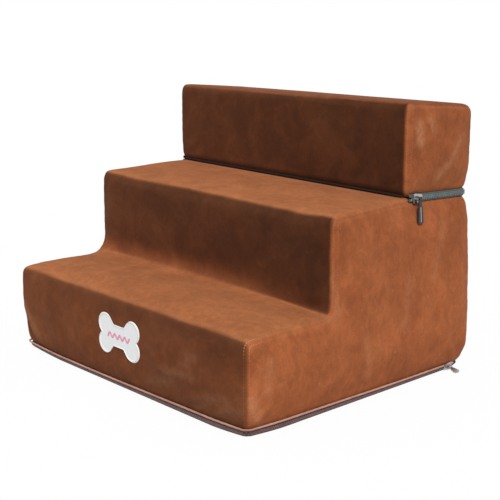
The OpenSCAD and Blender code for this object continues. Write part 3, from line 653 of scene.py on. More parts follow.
lowerCover = coverPiece("lower_cover", lowerCorners, lowerBoxes, lowerMiddle, lowerPins,
                        coverFolds["lower"], seed=4)
openBottom(lowerCover)
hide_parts("step_runner", "left_side_panel", "right_side_panel", "back_panel")
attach(lowerCover, "stairs")
upperCover = coverPiece("top_cover", upperCorners, upperBoxes, upperMiddle, upperPins,
                        coverFolds["upper"], seed=9)
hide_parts("top_runner", "top_left_panel", "top_right_panel")
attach(upperCover, "top_step")
report("covers")


# Foam

foam = {"depth": 0.0038, "round": 0.009, "crownShare": 0.4, "spacing": 0.01}


def foamCorners(y0, y1, z0, z1):
    r = foam["round"]
    return [(y0, z0, r, 0), (y1, z0, r, 0), (y1, z1, r, 0), (y0, z1, r, 0)]


def foamPiece(name, node, body, y0, y1, z0, z1):
    box = (y0, y1, z0, z1)
    points, faces = cushionRings(foamCorners(*box), [box], ((y0 + y1) / 2, (z0 + z1) / 2),
                                 foam["depth"], foam["crownShare"], foam["spacing"])
    piece = newPiece(name, tucked(points), faces)
    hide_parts(node)
    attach(piece, body)
    return piece


foamPieces = [
    foamPiece("foam_low", "bottom_foam", "stairs", frontY, backY, floorZ, riserZ),
    foamPiece("foam_mid", "middle_foam", "stairs", riser2Y, backY, riserZ - 2 * foam["depth"], deckZ),
    foamPiece("foam_top", "top_foam", "top_step", riser3Y, backY, topBaseZ, topZ),
]
report("foam")


# Linings and the underside

def roundPlan(x, y0, y1, r, steps=10):
    # A rectangle with quarter circles at its corners, counted round once.
    t = np.linspace(0, math.pi / 2, steps)
    parts = []
    for cx, cy, a in ((x - r, y1 - r, 0), (-x + r, y1 - r, 1), (-x + r, y0 + r, 2), (x - r, y0 + r, 3)):
        angle = t + a * math.pi / 2
        parts.append(np.stack([cx + r * np.cos(angle), cy + r * np.sin(angle)], -1))
    return np.concatenate(parts)


def spaced(plan, step):  # points added along the longer sides of an outline, so that these can bend
    after = np.roll(plan, -1, axis=0)
    counts = np.maximum(1, np.hypot(*(after - plan).T) / step).astype(int)
    return np.concatenate([a + (b - a) * np.arange(n)[:, None] / n for a, b, n in zip(plan, after, counts)])


def platePoints(plan, levels):
    # A plan outline carried through levels of height and inset towards its middle; the two ends close.
    middle = plan.mean(0)
    half = (plan.max(0) - plan.min(0)) / 2
    rings = [np.column_stack([middle + (plan - middle) * (1 - inset / half), np.full(len(plan), z)])
             for inset, z in levels]
    tips = np.array([[*middle, levels[0][1]], [*middle, levels[-1][1]]])
    return np.concatenate(rings + [tips]), tubeFaces(len(rings), len(plan))


lining = {
    "deckX": 0.181, "y0": 0.0685, "y1": 0.163, "round": 0.012,
    "thick": 0.00012, "edge": 0.0003, "off": 0.00002,
}


def liningSheet(name, node, body, z):
    plan = roundPlan(lining["deckX"], lining["y0"], lining["y1"], lining["round"])
    edge, thick = lining["edge"], lining["thick"]
    points, faces = platePoints(plan, [(edge, z), (0, z + thick / 2), (edge, z + thick)])
    points[:, 2] += tiltRise(points[:, 1], np.full(len(points), foldZ))
    piece = newPiece(name, points, faces)
    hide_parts(node)
    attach(piece, body)
    return piece


linings = [
    liningSheet("deck_lining_sheet", "deck_lining", "stairs", deckZ + lining["off"]),
    liningSheet("top_lining_sheet", "top_lining", "top_step", topBaseZ - lining["off"] - lining["thick"]),
]

underside = {
    "off": -0.00288, "back": 0.1696, "round": 0.0053, "spacing": 0.003,
    "levels": [  # inset and height of the rounded rim, then of the pad
        (0.0012, 0), (0.0003, 0.0004), (0, 0.0013), (0.0003, 0.0022), (0.0012, 0.0026),
        (0.009, 0.0027), (0.013, 0.0036), (0.017, 0.0044), (0.025, 0.0046)],
}
panelPlan = spaced(roundPlan(halfW + underside["off"], frontY - underside["off"], underside["back"],
                             underside["round"]), underside["spacing"])
panelPoints, panelFaces = platePoints(panelPlan, underside["levels"])
basePanel = newPiece("underside_panel", tucked(panelPoints), panelFaces)
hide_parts("base_panel")
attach(basePanel, "underside")
report("linings")


# Zips

def zipPath(x, yOpen, yFar, r, spacing, flip=False):
    # A line up one side, round two quarter circles and back down the other side, at even spacing.
    # Gives the places, the directions along it and the directions outward.
    turn = np.linspace(0, math.pi / 2, 40)
    right = np.array([[x, yOpen], [x, yFar - r]])
    bend = np.stack([x - r + r * np.cos(turn), yFar - r + r * np.sin(turn)], -1)
    line = np.concatenate([right, bend[1:], (bend * [-1, 1])[::-1], np.array([[-x, yOpen]])])
    seg = np.hypot(*np.diff(line, axis=0).T)
    at = np.concatenate([[0], np.cumsum(seg)])
    count = int(at[-1] / spacing)
    s = np.linspace(0, at[-1], count + 1)
    p = np.stack([np.interp(s, at, line[:, 0]), np.interp(s, at, line[:, 1])], -1)
    d = np.gradient(p, axis=0)
    d /= np.hypot(*d.T)[:, None]
    out = np.stack([d[:, 1], -d[:, 0]], -1)
    if flip:
        p, d, out = p * [1, -1], d * [1, -1], out * [1, -1]
    return p, d, out, s


def bandAlong(path, profile):
    # A closed profile (outward, up) carried along the path, closed at both ends.
    p, d, out, s = path
    profile = np.asarray(profile)
    flat = p[:, None] + out[:, None] * profile[None, :, :1]
    up = np.broadcast_to(profile[None, :, 1:], (len(p), len(profile), 1))
    points = np.concatenate([flat, up], -1)
    return np.concatenate([points.reshape(-1, 3), points[[0, -1]].mean(1)]), tubeFaces(len(p), len(profile))


def superBlock(a, b, c, power, rows=6, cols=10):
    # A rounded block: a sphere's grid with its sines and cosines raised to a power under 1.
    v = np.linspace(-math.pi / 2, math.pi / 2, rows)[1:-1, None]
    u = np.linspace(0, 2 * math.pi, cols, endpoint=False)[None]

    def bent(w):
        return np.sign(w) * np.abs(w) ** power

    grid = np.stack([a * bent(np.cos(v)) * bent(np.cos(u)), b * bent(np.cos(v)) * bent(np.sin(u)),
                     c * bent(np.sin(v)) + 0 * u], -1).reshape(-1, 3)
    return np.concatenate([grid, [[0, 0, -c], [0, 0, c]]]), tubeFaces(rows - 2, cols)


def repeated(block, frames):
    # One small shape set at each frame: place, along, outward and up, as whole arrays.
    points, faces = block
    place, along, out, up = frames
    n = len(place)
    world = (place[:, None] + points[None, :, :1] * along[:, None] + points[None, :, 1:2] * out[:, None]
             + points[None, :, 2:] * up[:, None])
    step = (np.arange(n) * len(points))[:, None, None]
    return world.reshape(-1, 3), [(f[None] + step).reshape(-1, f.shape[1]) for f in faces]


def joined(*shapes):
    points, faces, at = [], [], 0
    for p, fs in shapes:
        points.append(p)
        faces += [f + at for f in fs]
        at += len(p)
    return np.concatenate(points), faces


zips = {
    "pitch": 0.003, "tapeT": 0.0008, "toothT": 0.0014, "margin": 0.0034, "spacing": 0.0015, "past": 0.0024,
    "head": (0.00052, 0.00068, 0.0011, 0.5), "headUp": 0.0002,  # the head that meshes: half sizes and power
    "root": (0.00085, 0.0007, 0.0008, 0.4), "rootUp": 0.0016,  # the foot clamped on the bead
    # each line's half width, the place where it opens, its far end, the bends' radius and its level
    "fold": {"x": 0.188565, "open": 0.07205, "far": 0.169384, "bend": 0.0084, "z": foldZ, "flip": False},
    "base": {"x": 0.197322, "open": -0.143, "far": 0.172322, "bend": 0.005322, "z": 0.0046, "flip": True},
}


def tapeProfile(up, z):  # a thin tape, a thicker bead behind the teeth and a sewing margin bent inward
    half, near, t, margin = stairs["zipHalf"], stairs["zipHalf"] * 0.2, zips["tapeT"], zips["margin"]
    side = [
        (0, near), (0.0004, near - 0.0001), (t, near), (t + 0.00035, near + 0.0005),
        (t + 0.0004, near + 0.0010), (t + 0.00015, near + 0.0016), (t * 0.8, near + 0.0021),
        (t * 0.8, half - 0.0007), (t * 0.95, half - 0.0004), (t * 0.7, half),
        (-margin, half), (-margin, half - 0.0005), (0, half - 0.0006),
    ]
    prof = np.array(side) * [1, up] + [0, z]
    return prof if up < 0 else prof[::-1]


def zipHalf(kind, up, body):
    # One half of a zip, above or below its line: the tape, and teeth one pitch apart that stand midway
    # between those of the other half.
    z, (end, side) = zips[kind], ("up", "upper") if up > 0 else ("low", "lower")
    placed = onFoldPlane if kind == "fold" else tucked
    path = zipPath(z["x"], z["open"] - zips["past"], z["far"], z["bend"], zips["spacing"], z["flip"])
    points, faces = bandAlong(path, tapeProfile(up, z["z"]))
    tape = newPiece(f"{kind}_tape_{end}", placed(points), faces)
    outward(tape)
    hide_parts(f"{kind}_zip_{side}_tape")
    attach(tape, body)
    p, d, out, _ = zipPath(z["x"], z["open"], z["far"], z["bend"], zips["pitch"] / 4, z["flip"])
    phase = 3 if up > 0 else 1
    p, d, out = p[phase::4], d[phase::4], out[phase::4]
    place = np.column_stack([p + out * (zips["tapeT"] + zips["toothT"] / 2), np.full(len(p), z["z"])])
    along, outer = np.column_stack([d, np.zeros(len(p))]), np.column_stack([out, np.zeros(len(p))])
    upward = np.zeros_like(along)
    upward[:, 2] = up
    parts = [repeated(superBlock(*zips[part]), (place + upward * zips[part + "Up"], along, outer, upward))
             for part in ("head", "root")]
    points, faces = joined(*parts)
    teeth = newPiece(f"{kind}_teeth_{end}", placed(points), faces)
    outward(teeth)
    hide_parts(f"{kind}_zip_{side}_teeth")
    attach(teeth, body)
    return tape, teeth


foldHalves = [zipHalf("fold", -1, "stairs"), zipHalf("fold", 1, "top_step")]
baseHalves = [zipHalf("base", 1, "stairs"), zipHalf("base", -1, "underside")]
report("zips")


# Hem and seams

hem = {
    "off": 0.00160, "t": 0.0016, "z": 0.0090, "h": 0.0022, "tuck": 0.52, "back": 0.0021, "bend": 0.0064,
    "sides": 12, "ripple": 0.00012, "rippleLength": 0.010, "swayPerMetre": 60,
}


def hemPiece():
    # A rolled band: a rounded profile carried along the lower zip's line, a little puckered.
    x = halfW + hem["off"] - stairs["tuckIn"] * hem["tuck"]
    far = halfD + hem["off"] - hem["back"]
    path = zipPath(x, zips["base"]["open"] - zips["past"], far, hem["bend"], zips["spacing"], True)
    p, _, out, s = path
    t = np.linspace(0, 2 * math.pi, hem["sides"], endpoint=False)
    wide, high = hem["t"] * (0.5 + 0.5 * np.cos(t)), hem["h"] * (0.5 + 0.5 * np.sin(t))
    points, faces = bandAlong(path, np.stack([wide, hem["z"] + high], -1))
    wave = np.sin(s * 2 * math.pi / hem["rippleLength"] + np.sin(s * hem["swayPerMetre"])) * hem["ripple"]
    body = points[:-2].reshape(len(p), len(t), 3)
    body[..., :2] += out[:, None] * wave[:, None, None]
    piece = newPiece("hem_roll", tucked(np.concatenate([body.reshape(-1, 3), points[-2:]])), faces)
    outward(piece)
    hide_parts("hem_band")
    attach(piece, "stairs")
    return piece


rolls = {
    "r": 0.0015, "rings": 300, "sides": 16, "ribs": (0.93, 0.07), "twist": 900, "taper": 0.002,
    "creaseY": 0.06605, "creaseUp": 0.0019, "creaseLength": 0.366,
    "flapY": 0.1713, "flapZ": 0.003, "flapLength": 0.376,
}


def seamRoll(name, node, y, z, length):
    # A tube across the width, twisted into slight ribs like rolled cloth.
    x = np.linspace(-length / 2, length / 2, rolls["rings"])[:, None]
    t = np.linspace(0, 2 * math.pi, rolls["sides"], endpoint=False)[None]
    r = rolls["r"] * (rolls["ribs"][0] + rolls["ribs"][1] * np.sin(3 * t + x * rolls["twist"]))
    end = np.clip((length / 2 - np.abs(x)) / rolls["taper"], 0.05, 1) ** 0.5
    points = np.stack([x + 0 * t, y + r * end * np.cos(t), z + r * end * np.sin(t)], -1).reshape(-1, 3)
    points = np.concatenate([points, [[-length / 2, y, z], [length / 2, y, z]]])
    piece = newPiece(name, tucked(points), tubeFaces(rolls["rings"], rolls["sides"]))
    outward(piece)
    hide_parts(node)
    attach(piece, "stairs")
    return piece


hemRoll = hemPiece()
creaseZ = deckZ + rolls["creaseUp"] + float(tiltRise(rolls["creaseY"], foldZ))
creaseRoll = seamRoll("crease_roll", "fold_seam", rolls["creaseY"], creaseZ, rolls["creaseLength"])
flapRoll = seamRoll("flap_roll", "flap_seam", rolls["flapY"], rolls["flapZ"], rolls["flapLength"])
report("hem and seams")


# Bone patch

patch = {
    "w": 0.073, "h": 0.0455, "lobe": 0.0125, "bar": 0.0245, "z": 0.058, "y": frontY - 0.0013, "t": 0.0012,
    "points": 240, "rim": (0.945, 0.028), "rimLook": (0.955, 0.03),  # place and half width
}


def boneRadius(t):
    # The furthest point along a ray from the middle that any of four circles or the bar reaches.
    c, s = np.cos(t), np.sin(t)
    lobeX, lobeZ = patch["w"] / 2 - patch["lobe"], patch["h"] / 2 - patch["lobe"]
    r = np.minimum(lobeX / np.maximum(1e-9, np.abs(c)), patch["bar"] / 2 / np.maximum(1e-9, np.abs(s)))
    for sx in (-1, 1):
        for sz in (-1, 1):
            px, pz = sx * lobeX, sz * lobeZ
            along = px * c + pz * s
            side = patch["lobe"] ** 2 - (px * px + pz * pz - along ** 2)
            r = np.maximum(r, np.where(side > 0, along + np.sqrt(np.maximum(0, side)), 0))
    return r


def bonePiece():
    # The bone's outline shrunk towards its middle, thick in the field with a raised border.
    t = np.linspace(0, 2 * math.pi, patch["points"], endpoint=False)
    r, n = boneRadius(t), len(t)
    share = np.concatenate([[0.995, 1.0], np.linspace(1, 0.86, 12)[1:], np.linspace(0.86, 0.02, 16)[1:]])
    height = patch["t"] * (0.55 + 0.5 * bell(share, *patch["rim"]))
    height[:2] = [0, patch["t"] * 0.3]
    y = np.broadcast_to(patch["y"] - height[:, None], (len(share), n))
    rings = np.stack([share[:, None] * (r * np.cos(t)), y, patch["z"] + share[:, None] * (r * np.sin(t))], -1)
    tips = [[0, patch["y"], patch["z"]], [0, patch["y"] - height[-1], patch["z"]]]
    piece = newPiece("bone_patch", np.concatenate([rings.reshape(-1, 3), tips]), tubeFaces(len(share), n))
    outward(piece)
    layer = piece.data.attributes.new("rim", "FLOAT", "POINT")
    q = meshValues(piece.data)
    reach = np.hypot(q[:, 0], q[:, 2] - patch["z"]) / boneRadius(np.arctan2(q[:, 2] - patch["z"], q[:, 0]))
    layer.data.foreach_set("value", bell(reach, *patch["rimLook"]).astype(np.float32))
    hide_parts("bone_label")
    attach(piece, "stairs")
    return piece


motif = {
    "half": 0.0205, "wave": 0.0088, "swing": 0.0022, "w": 0.0013, "t": 0.0004, "rings": 360, "sides": 14,
    "rib": 0.10, "ribs": 360, "taper": 0.04,
}


def wavePiece():
    # A plain embroidered wave on the patch: a flat rounded section along a sine, ribbed like satin stitch.
    s = np.linspace(-1, 1, motif["rings"])
    x = motif["half"] * s
    z = patch["z"] + motif["swing"] * np.sin(x * 2 * math.pi / motif["wave"])
    d = np.gradient(np.stack([x, z], -1), axis=0)
    d /= np.hypot(*d.T)[:, None]
    side = np.stack([-d[:, 1], d[:, 0]], -1)
    t = np.linspace(0, 2 * math.pi, motif["sides"], endpoint=False)
    rib = 1 + motif["rib"] * np.sin(s * motif["ribs"])
    taper = np.sqrt(np.clip((1 - np.abs(s)) / motif["taper"], 0.02, 1))
    wide = (motif["w"] * taper)[:, None] * np.cos(t)
    high = (motif["t"] * taper * rib)[:, None] * (0.5 + 0.5 * np.sin(t))
    y = patch["y"] - patch["t"] * 0.5 - high
    points = np.stack([x[:, None] + side[:, :1] * wide, y, z[:, None] + side[:, 1:] * wide], -1)
    points = np.concatenate([points.reshape(-1, 3), points[[0, -1]].mean(1)])
    piece = newPiece("stitched_wave", points, tubeFaces(motif["rings"], motif["sides"]))
    outward(piece)
    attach(piece, "stairs")
    return piece


bonePatch = bonePiece()
stitchedWave = wavePiece()
report("patch")


# Materials

def newMaterial(name, **values):
    material = bpy.data.materials.new(name)
    material.use_nodes = True
    shader = material.node_tree.nodes["Principled BSDF"]
    for label, value in values.items():
        shader.inputs[label.replace("_", " ")].default_value = value
    return material, material.node_tree, shader


def node(tree, kind, **values):
    made = tree.nodes.new(kind)
    for label, value in values.items():
        setattr(made, label, value)
    return made


def given(tree, socket, value):  # sets a socket to a number or a colour, or links an output to it
    if isinstance(value, (int, float)):
        socket.default_value = value
    elif isinstance(value, tuple):
        socket.default_value = (*value, 1)
    else:
        tree.links.new(value, socket)


def objectCoordinates(tree, scale=(1, 1, 1), turn=(0, 0, 0)):
    place = node(tree, "ShaderNodeTexCoord")
    mapping = node(tree, "ShaderNodeMapping")
    mapping.inputs["Scale"].default_value = scale
    mapping.inputs["Rotation"].default_value = turn
    tree.links.new(place.outputs["Object"], mapping.inputs["Vector"])
    return mapping.outputs["Vector"]


def noise(tree, scale, detail=4.0, rough=0.55, distort=0.0, turn=(0, 0, 0)):
    # The scale is one number, or one for each axis.
    made = node(tree, "ShaderNodeTexNoise")
    own, stretch = (1.0, scale) if isinstance(scale, tuple) else (scale, (1, 1, 1))
    for label, value in (("Scale", own), ("Detail", detail), ("Roughness", rough), ("Distortion", distort)):
        made.inputs[label].default_value = value
    tree.links.new(objectCoordinates(tree, stretch, turn), made.inputs["Vector"])
    return made.outputs["Fac"]


def wave(tree, scale, axis="X", distort=0.0, kind="BANDS"):  # a sine in bands along an axis, or in rings
    made = node(tree, "ShaderNodeTexWave", wave_type=kind, bands_direction=axis)
    made.inputs["Scale"].default_value = scale
    made.inputs["Distortion"].default_value = distort
    tree.links.new(objectCoordinates(tree), made.inputs["Vector"])
    return made.outputs["Fac"]


def grey(v):
    return (v, v, v)


def tinted(colour, share):  # a colour made darker or lighter by a share
    return tuple(c * share for c in colour)


def ramp(tree, value, *stops):  # stops are a place and a colour, or one number for a grey
    made = node(tree, "ShaderNodeValToRGB")
    while len(made.color_ramp.elements) < len(stops):
        made.color_ramp.elements.new(0.5)
    for element, (place, colour) in zip(made.color_ramp.elements, stops):
        element.position = place
        element.color = (*(colour if isinstance(colour, tuple) else grey(colour)), 1)
    tree.links.new(value, made.inputs["Fac"])
    return made.outputs["Color"]


def mixed(tree, kind, factor, a, b):
    made = node(tree, "ShaderNodeMix", data_type="RGBA", blend_type=kind)
    for at, value in ((0, factor), (6, a), (7, b)):
        given(tree, made.inputs[at], value)
    return made.outputs[2]


def shaded(tree, colour, value, *stops, share=1.0):  # a colour made darker and lighter along a value
    return mixed(tree, "MULTIPLY", share, colour, ramp(tree, value, *stops))


def maths(tree, kind, a, b=0.0):
    made = node(tree, "ShaderNodeMath", operation=kind)
    given(tree, made.inputs[0], a)
    given(tree, made.inputs[1], b)
    return made.outputs[0]


def times(tree, a, b):
    return maths(tree, "MULTIPLY", a, b)


def attribute(tree, label):
    return node(tree, "ShaderNodeAttribute", attribute_name=label).outputs["Fac"]


def bump(tree, shader, height, distance, strength, under=None):
    made = node(tree, "ShaderNodeBump")
    made.inputs["Distance"].default_value = distance
    made.inputs["Strength"].default_value = strength
    tree.links.new(height, made.inputs["Height"])
    if under is not None:
        tree.links.new(under, made.inputs["Normal"])
    tree.links.new(made.outputs["Normal"], shader.inputs["Normal"])
    return made.outputs["Normal"]


def coloured(tree, shader, colour):
    tree.links.new(colour, shader.inputs["Base Color"])


def finished(material, *pieces):
    for piece in pieces:
        piece.data.materials.clear()
        piece.data.materials.append(material)


suedeLook = {
    "dark": (0.365, 0.104, 0.036), "mid": (0.402, 0.116, 0.040), "light": (0.436, 0.132, 0.047),
    "brushed": (0.620, 0.270, 0.135), "upward": (0.378, 0.133, 0.048), "seam": (0.120, 0.040, 0.020),
    "thread": (0.58, 0.36, 0.22), "shade": (0.013, 0.0046, 0.0022), "lint": (0.62, 0.40, 0.28),
    "nap": 0.00030, "hills": 0.0007, "seamLift": 0.0003, "seamShadeShare": 0.10, "nosingHighlightShare": 0.10,
    "stitchesPerMetre": 300, "stitchLength": 0.62, "stitchOff": 0.0030, "stitchHalf": 0.00035,
    "stitchShare": 0.13, "frayedShare": 0.80,
}


def suede():
    look = suedeLook
    material, tree, shader = newMaterial(
        "brown_suede", Roughness=0.94, Specular_IOR_Level=0.12,
        Sheen_Weight=0.10, Sheen_Roughness=0.5, Sheen_Tint=(0.90, 0.52, 0.33, 1))

    def laid(share, kind):  # one of the look's colours laid over what is there
        return mixed(tree, "MIX", share, colour, look[kind])

    broad = noise(tree, (22, 28, 24), 5, 0.6, 0.5)
    colour = ramp(tree, broad, (0.36, look["dark"]), (0.5, look["mid"]), (0.66, look["light"]))
    # Painted light: faces turned up, such as the treads, are tinted paler with the upward colour.
    upward = times(tree, attribute(tree, "upward"), ramp(tree, broad, (0.3, 0.55), (0.7, 0.95)))
    colour = laid(upward, "upward")
    patches = noise(tree, 26, 3, 0.55, 0.6)
    colour = shaded(tree, colour, patches, (0.38, 0.91), (0.62, 1.05))
    blots = noise(tree, (62, 74, 58), 2, 0.5, 1.4)
    colour = shaded(tree, colour, blots, (0.44, 0.94), (0.56, 1.05))
    strokes = noise(tree, (120, 150, 96), 3, 0.6, 1.6, (0.25, 0, 0))
    colour = shaded(tree, colour, strokes, (0.30, 0.95), (0.5, 1), (0.72, 1.10))
    lint = noise(tree, (330, 520, 240), 2, 0.5, 0.8)
    colour = laid(ramp(tree, lint, (0.69, 0), (0.78, 0.32)), "lint")
    ragged = times(tree, attribute(tree, "brushed"), ramp(tree, strokes, (0.30, 0.35), (0.6, 1)))
    colour = laid(ragged, "brushed")
    fine = noise(tree, 900, 3, 0.6)
    colour = shaded(tree, colour, fine, (0.3, 0.62), (0.7, 1.25), share=0.35)
    # Painted highlight along the nosings, in the brushed colour.
    colour = laid(times(tree, attribute(tree, "nosingHighlight"), look["nosingHighlightShare"]), "brushed")
    # Painted shade laid over the colour, most on the risers.
    paintedShade = times(tree, attribute(tree, "paintedShade"), ramp(tree, patches, (0.3, 1.045), (0.7, 0.965)))
    colour = laid(paintedShade, "shade")
    # Painted shade: a darker line along the sewn edges, standing for the shade in their groove.
    off = maths(tree, "ABSOLUTE", attribute(tree, "across"))
    line = ramp(tree, times(tree, off, 500), (0.0, 1), (0.45, 0))
    colour = laid(times(tree, line, look["seamShadeShare"]), "seam")
    along = maths(tree, "FRACT", times(tree, attribute(tree, "run"), look["stitchesPerMetre"]))
    dash = maths(tree, "LESS_THAN", along, look["stitchLength"])
    beside = maths(tree, "ABSOLUTE", maths(tree, "SUBTRACT", off, look["stitchOff"]))
    stitch = times(tree, dash, maths(tree, "LESS_THAN", beside, look["stitchHalf"]))
    frayedPart = times(tree, attribute(tree, "frayed"), look["frayedShare"])
    colour = laid(times(tree, stitch, maths(tree, "ADD", look["stitchShare"], frayedPart)), "thread")
    coloured(tree, shader, colour)
    rough = bump(tree, shader, noise(tree, (58, 72, 60), 4, 0.55, 0.3), look["hills"], 0.5)
    rough = bump(tree, shader, fine, look["nap"], 0.5, rough)
    bump(tree, shader, maths(tree, "SUBTRACT", times(tree, stitch, 0.5), line), look["seamLift"], 0.5, rough)
    return material


def weave(name, colour, scale, lift=0.0001, rough=0.85, sheen=0.12):  # the highest of bands along three axes
    material, tree, shader = newMaterial(name, Roughness=rough, Sheen_Weight=sheen, Specular_IOR_Level=0.25)
    height = wave(tree, scale, "X", 0.6)
    for axis in "YZ":
        height = maths(tree, "MAXIMUM", height, wave(tree, scale, axis, 0.6))
    base = mixed(tree, "MIX", height, tinted(colour, 0.75), tinted(colour, 1.25))
    coloured(tree, shader, shaded(tree, base, noise(tree, 40), (0.3, 0.75), (0.7, 1.1), share=0.5))
    bump(tree, shader, height, lift, 0.7)
    return material


def mottled(name, low, high, blots, grain, lift, **values):  # a colour along one noise, relief on another
    material, tree, shader = newMaterial(name, **values)
    coloured(tree, shader, ramp(tree, noise(tree, *blots), (0.3, low), (0.7, high)))
    bump(tree, shader, noise(tree, *grain), *lift)
    return material


def foamLook():
    material, tree, shader = newMaterial("open_cell_foam", Roughness=0.95, Specular_IOR_Level=0.15)
    cells = node(tree, "ShaderNodeTexVoronoi", feature="F1")
    cells.inputs["Scale"].default_value = 700
    tree.links.new(objectCoordinates(tree), cells.inputs["Vector"])
    depth = cells.outputs["Distance"]
    # Painted shade: the cells' pits, where the relief is lowest, are drawn dark.
    colour = ramp(tree, depth, (0.1, (0.52, 0.42, 0.22)), (0.5, (0.86, 0.76, 0.52)))
    coloured(tree, shader, shaded(tree, colour, noise(tree, 14), (0.3, 0.85), (0.7, 1), share=0.6))
    bump(tree, shader, depth, 0.0008, 0.8)
    return material


def plated(name, colour, rough, metallic=1.0, scratch=0.4):
    material, tree, shader = newMaterial(name, Metallic=metallic, IOR=1.5)
    spots = noise(tree, 260, 5, 0.65)
    dull = ramp(tree, spots, (0.3, rough * (1 - scratch)), (0.7, rough * (1 + scratch)))
    tree.links.new(dull, shader.inputs["Roughness"])
    coloured(tree, shader, ramp(tree, noise(tree, 90, 3), (0.3, tinted(colour, 0.8)), (0.7, colour)))
    bump(tree, shader, spots, 0.00008, 0.5)
    return material


def patchLook():
    material, tree, shader = newMaterial("white_felt", Roughness=0.8, Sheen_Weight=0.2,
                                         Specular_IOR_Level=0.3)
    fibres = noise(tree, 1200, 4, 0.7)
    colour = ramp(tree, fibres, (0.25, (0.92, 0.95, 0.95)), (0.75, (0.98, 0.99, 0.99)))
    rim = attribute(tree, "rim")
    coloured(tree, shader, mixed(tree, "MIX", times(tree, rim, 0.8), colour, (0.88, 0.84, 0.74)))
    rough = bump(tree, shader, fibres, 0.00015, 0.6)
    bump(tree, shader, times(tree, rim, wave(tree, 300, kind="RINGS")), 0.0002, 0.6, rough)
    return material


def threadLook():
    material, tree, shader = newMaterial("pink_thread", Roughness=0.55, Sheen_Weight=0.2,
                                         Specular_IOR_Level=0.4)
    lines = wave(tree, 420)
    coloured(tree, shader, ramp(tree, lines, (0.2, (0.80, 0.26, 0.42)), (0.8, (0.94, 0.45, 0.60))))
    bump(tree, shader, lines, 0.0001, 0.6)
    return material


finished(suede(), lowerCover, upperCover)
finished(weave("dark_lining", (0.050, 0.030, 0.024), 260), *linings, basePanel)
coil = {"blots": (120, 3), "grain": (1500, 2), "lift": (0.00005, 0.5),
        "Roughness": 0.42, "Specular_IOR_Level": 0.5, "Coat_Weight": 0.12}
for halves, tapeMaterial, teethMaterial in (
        (foldHalves, weave("zip_tape", (0.075, 0.092, 0.090), 520, 0.00006, 0.7),
         mottled("grey_teeth", (0.095, 0.125, 0.122), (0.160, 0.195, 0.190), **coil)),
        # The lower zip's mauve teeth: partly their own colour, partly a painted highlight of the zip's lit
        # edge.
        (baseHalves, weave("brown_zip_tape", (0.105, 0.055, 0.048), 520, 0.00006, 0.8),
         mottled("mauve_teeth_and_highlight", (0.150, 0.082, 0.076), (0.225, 0.130, 0.120), **coil))):
    for tape, teeth in halves:
        finished(tapeMaterial, tape)
        finished(teethMaterial, teeth)
finished(foamLook(), *foamPieces)
# The hem's pale salmon colour is a painted highlight of the rolled hem lit from above.
finished(mottled("hem_painted_highlight", (0.42, 0.20, 0.14), (0.62, 0.34, 0.25), (55, 4), (700, 3), (0.00015, 0.6),
                 Roughness=0.7, Sheen_Weight=0.3, Specular_IOR_Level=0.3), hemRoll)
# The rolled seams are near-black without sheen: their own dark colour deepened into a painted shadow of the
# crease under the top step.
finished(weave("rolled_seam_painted_shadow", (0.018, 0.009, 0.007), 380, 0.0001, 0.95, sheen=0.0), creaseRoll, flapRoll)
finished(patchLook(), bonePatch)
finished(threadLook(), stitchedWave)
metalNodes = ("fold_slider", "base_slider", "base_pull", "fold_pull_line", "fold_zip_stops", "base_zip_stops")
finished(plated("bright_plating", (0.46, 0.45, 0.44), 0.27), *(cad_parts[label] for label in metalNodes))
finished(plated("black_coating", (0.014, 0.014, 0.015), 0.42, 0.0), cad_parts["fold_pull"])
report("materials")


# Floor, light and camera

light = {
    "sun": 2.2, "sunAngle": 24, "sunFrom": (0.55, -0.40, 0.73), "sky": 0.50,
    "floor": 0.50, "pale": 1.0, "clear": 0.92, "floorHalf": 3, "floorPoints": 13, "floorZ": -0.0002,
}


def seenRay(tree):  # 1 for what the camera, a gloss or a clear body shows, 0 for light on the object
    ray = node(tree, "ShaderNodeLightPath")
    return maths(tree, "MAXIMUM", ray.outputs["Is Camera Ray"],
                 maths(tree, "MAXIMUM", ray.outputs["Is Glossy Ray"], ray.outputs["Is Transmission Ray"]))


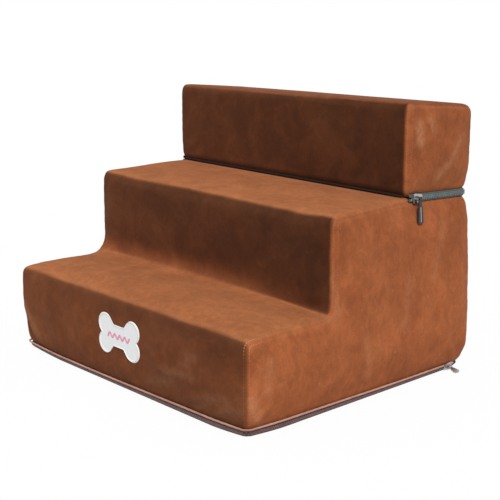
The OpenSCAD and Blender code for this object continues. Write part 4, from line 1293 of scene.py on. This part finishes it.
def floorPiece():
    n = light["floorPoints"]
    along = np.linspace(-light["floorHalf"], light["floorHalf"], n)
    x, y = np.meshgrid(along, along, indexing="ij")
    points = np.stack([x, y, 0 * x + light["floorZ"]], -1).reshape(-1, 3)
    piece = newPiece("floor", points, [gridFaces(n, n)[:, ::-1]])
    material = bpy.data.materials.new("pale_floor")
    material.use_nodes = True
    tree = material.node_tree
    tree.nodes.clear()
    diffuse = node(tree, "ShaderNodeBsdfDiffuse")
    tone = mixed(tree, "MIX", seenRay(tree), grey(light["floor"]), grey(light["pale"]))
    tree.links.new(tone, diffuse.inputs["Color"])
    clear = node(tree, "ShaderNodeBsdfTransparent")
    blend = node(tree, "ShaderNodeMixShader")
    tree.links.new(times(tree, seenRay(tree), light["clear"]), blend.inputs[0])
    tree.links.new(diffuse.outputs[0], blend.inputs[1])
    tree.links.new(clear.outputs[0], blend.inputs[2])
    out = node(tree, "ShaderNodeOutputMaterial")
    tree.links.new(blend.outputs[0], out.inputs["Surface"])
    finished(material, piece)


floorPiece()
world = bpy.data.worlds.new("studio")
scene.world = world
world.use_nodes = True
tree = world.node_tree
tree.nodes.clear()
sky = node(tree, "ShaderNodeBackground")
sky.inputs["Color"].default_value = (1, 1, 1, 1)
strength = node(tree, "ShaderNodeMix", data_type="FLOAT")
tree.links.new(seenRay(tree), strength.inputs[0])
strength.inputs[2].default_value = light["sky"]
strength.inputs[3].default_value = 1.0
tree.links.new(strength.outputs[0], sky.inputs["Strength"])
tree.links.new(sky.outputs[0], node(tree, "ShaderNodeOutputWorld").inputs["Surface"])

sun = bpy.data.objects.new("key_light", bpy.data.lights.new("key_light", "SUN"))
sun.data.energy = light["sun"]
sun.data.angle = math.radians(light["sunAngle"])
sun.rotation_mode = "QUATERNION"
sun.rotation_quaternion = Vector(light["sunFrom"]).to_track_quat("Z", "Y")
scene.collection.objects.link(sun)

view = {
    "azimuth": 47.261, "elevation": 13.298, "roll": -0.234, "distance": 1.27149, "focal": 1125.552,
    "target": (0.0308, -0.01456, 0.13382), "frame": 500, "sensor": 36, "clip": (0.01, 50),
}
a, e = math.radians(view["azimuth"]), math.radians(view["elevation"])
back = Vector((math.sin(a) * math.cos(e), -math.cos(a) * math.cos(e), math.sin(e)))
right = Vector((math.cos(a), math.sin(a), 0))
up = back.cross(right)
r = math.radians(view["roll"])
right, up = right * math.cos(r) - up * math.sin(r), up * math.cos(r) + right * math.sin(r)
camera = bpy.data.objects.new("camera", bpy.data.cameras.new("camera"))
camera.data.sensor_width = view["sensor"]
camera.data.lens = view["sensor"] * view["focal"] / view["frame"]
camera.data.clip_start, camera.data.clip_end = view["clip"]
where = Vector(view["target"]) + back * view["distance"]
camera.matrix_world = Matrix(((right.x, up.x, back.x, where.x), (right.y, up.y, back.y, where.y),
                              (right.z, up.z, back.z, where.z), (0, 0, 0, 1)))
scene.collection.objects.link(camera)
scene.camera = camera
scene.view_settings.view_transform = "Standard"
report("light and camera")
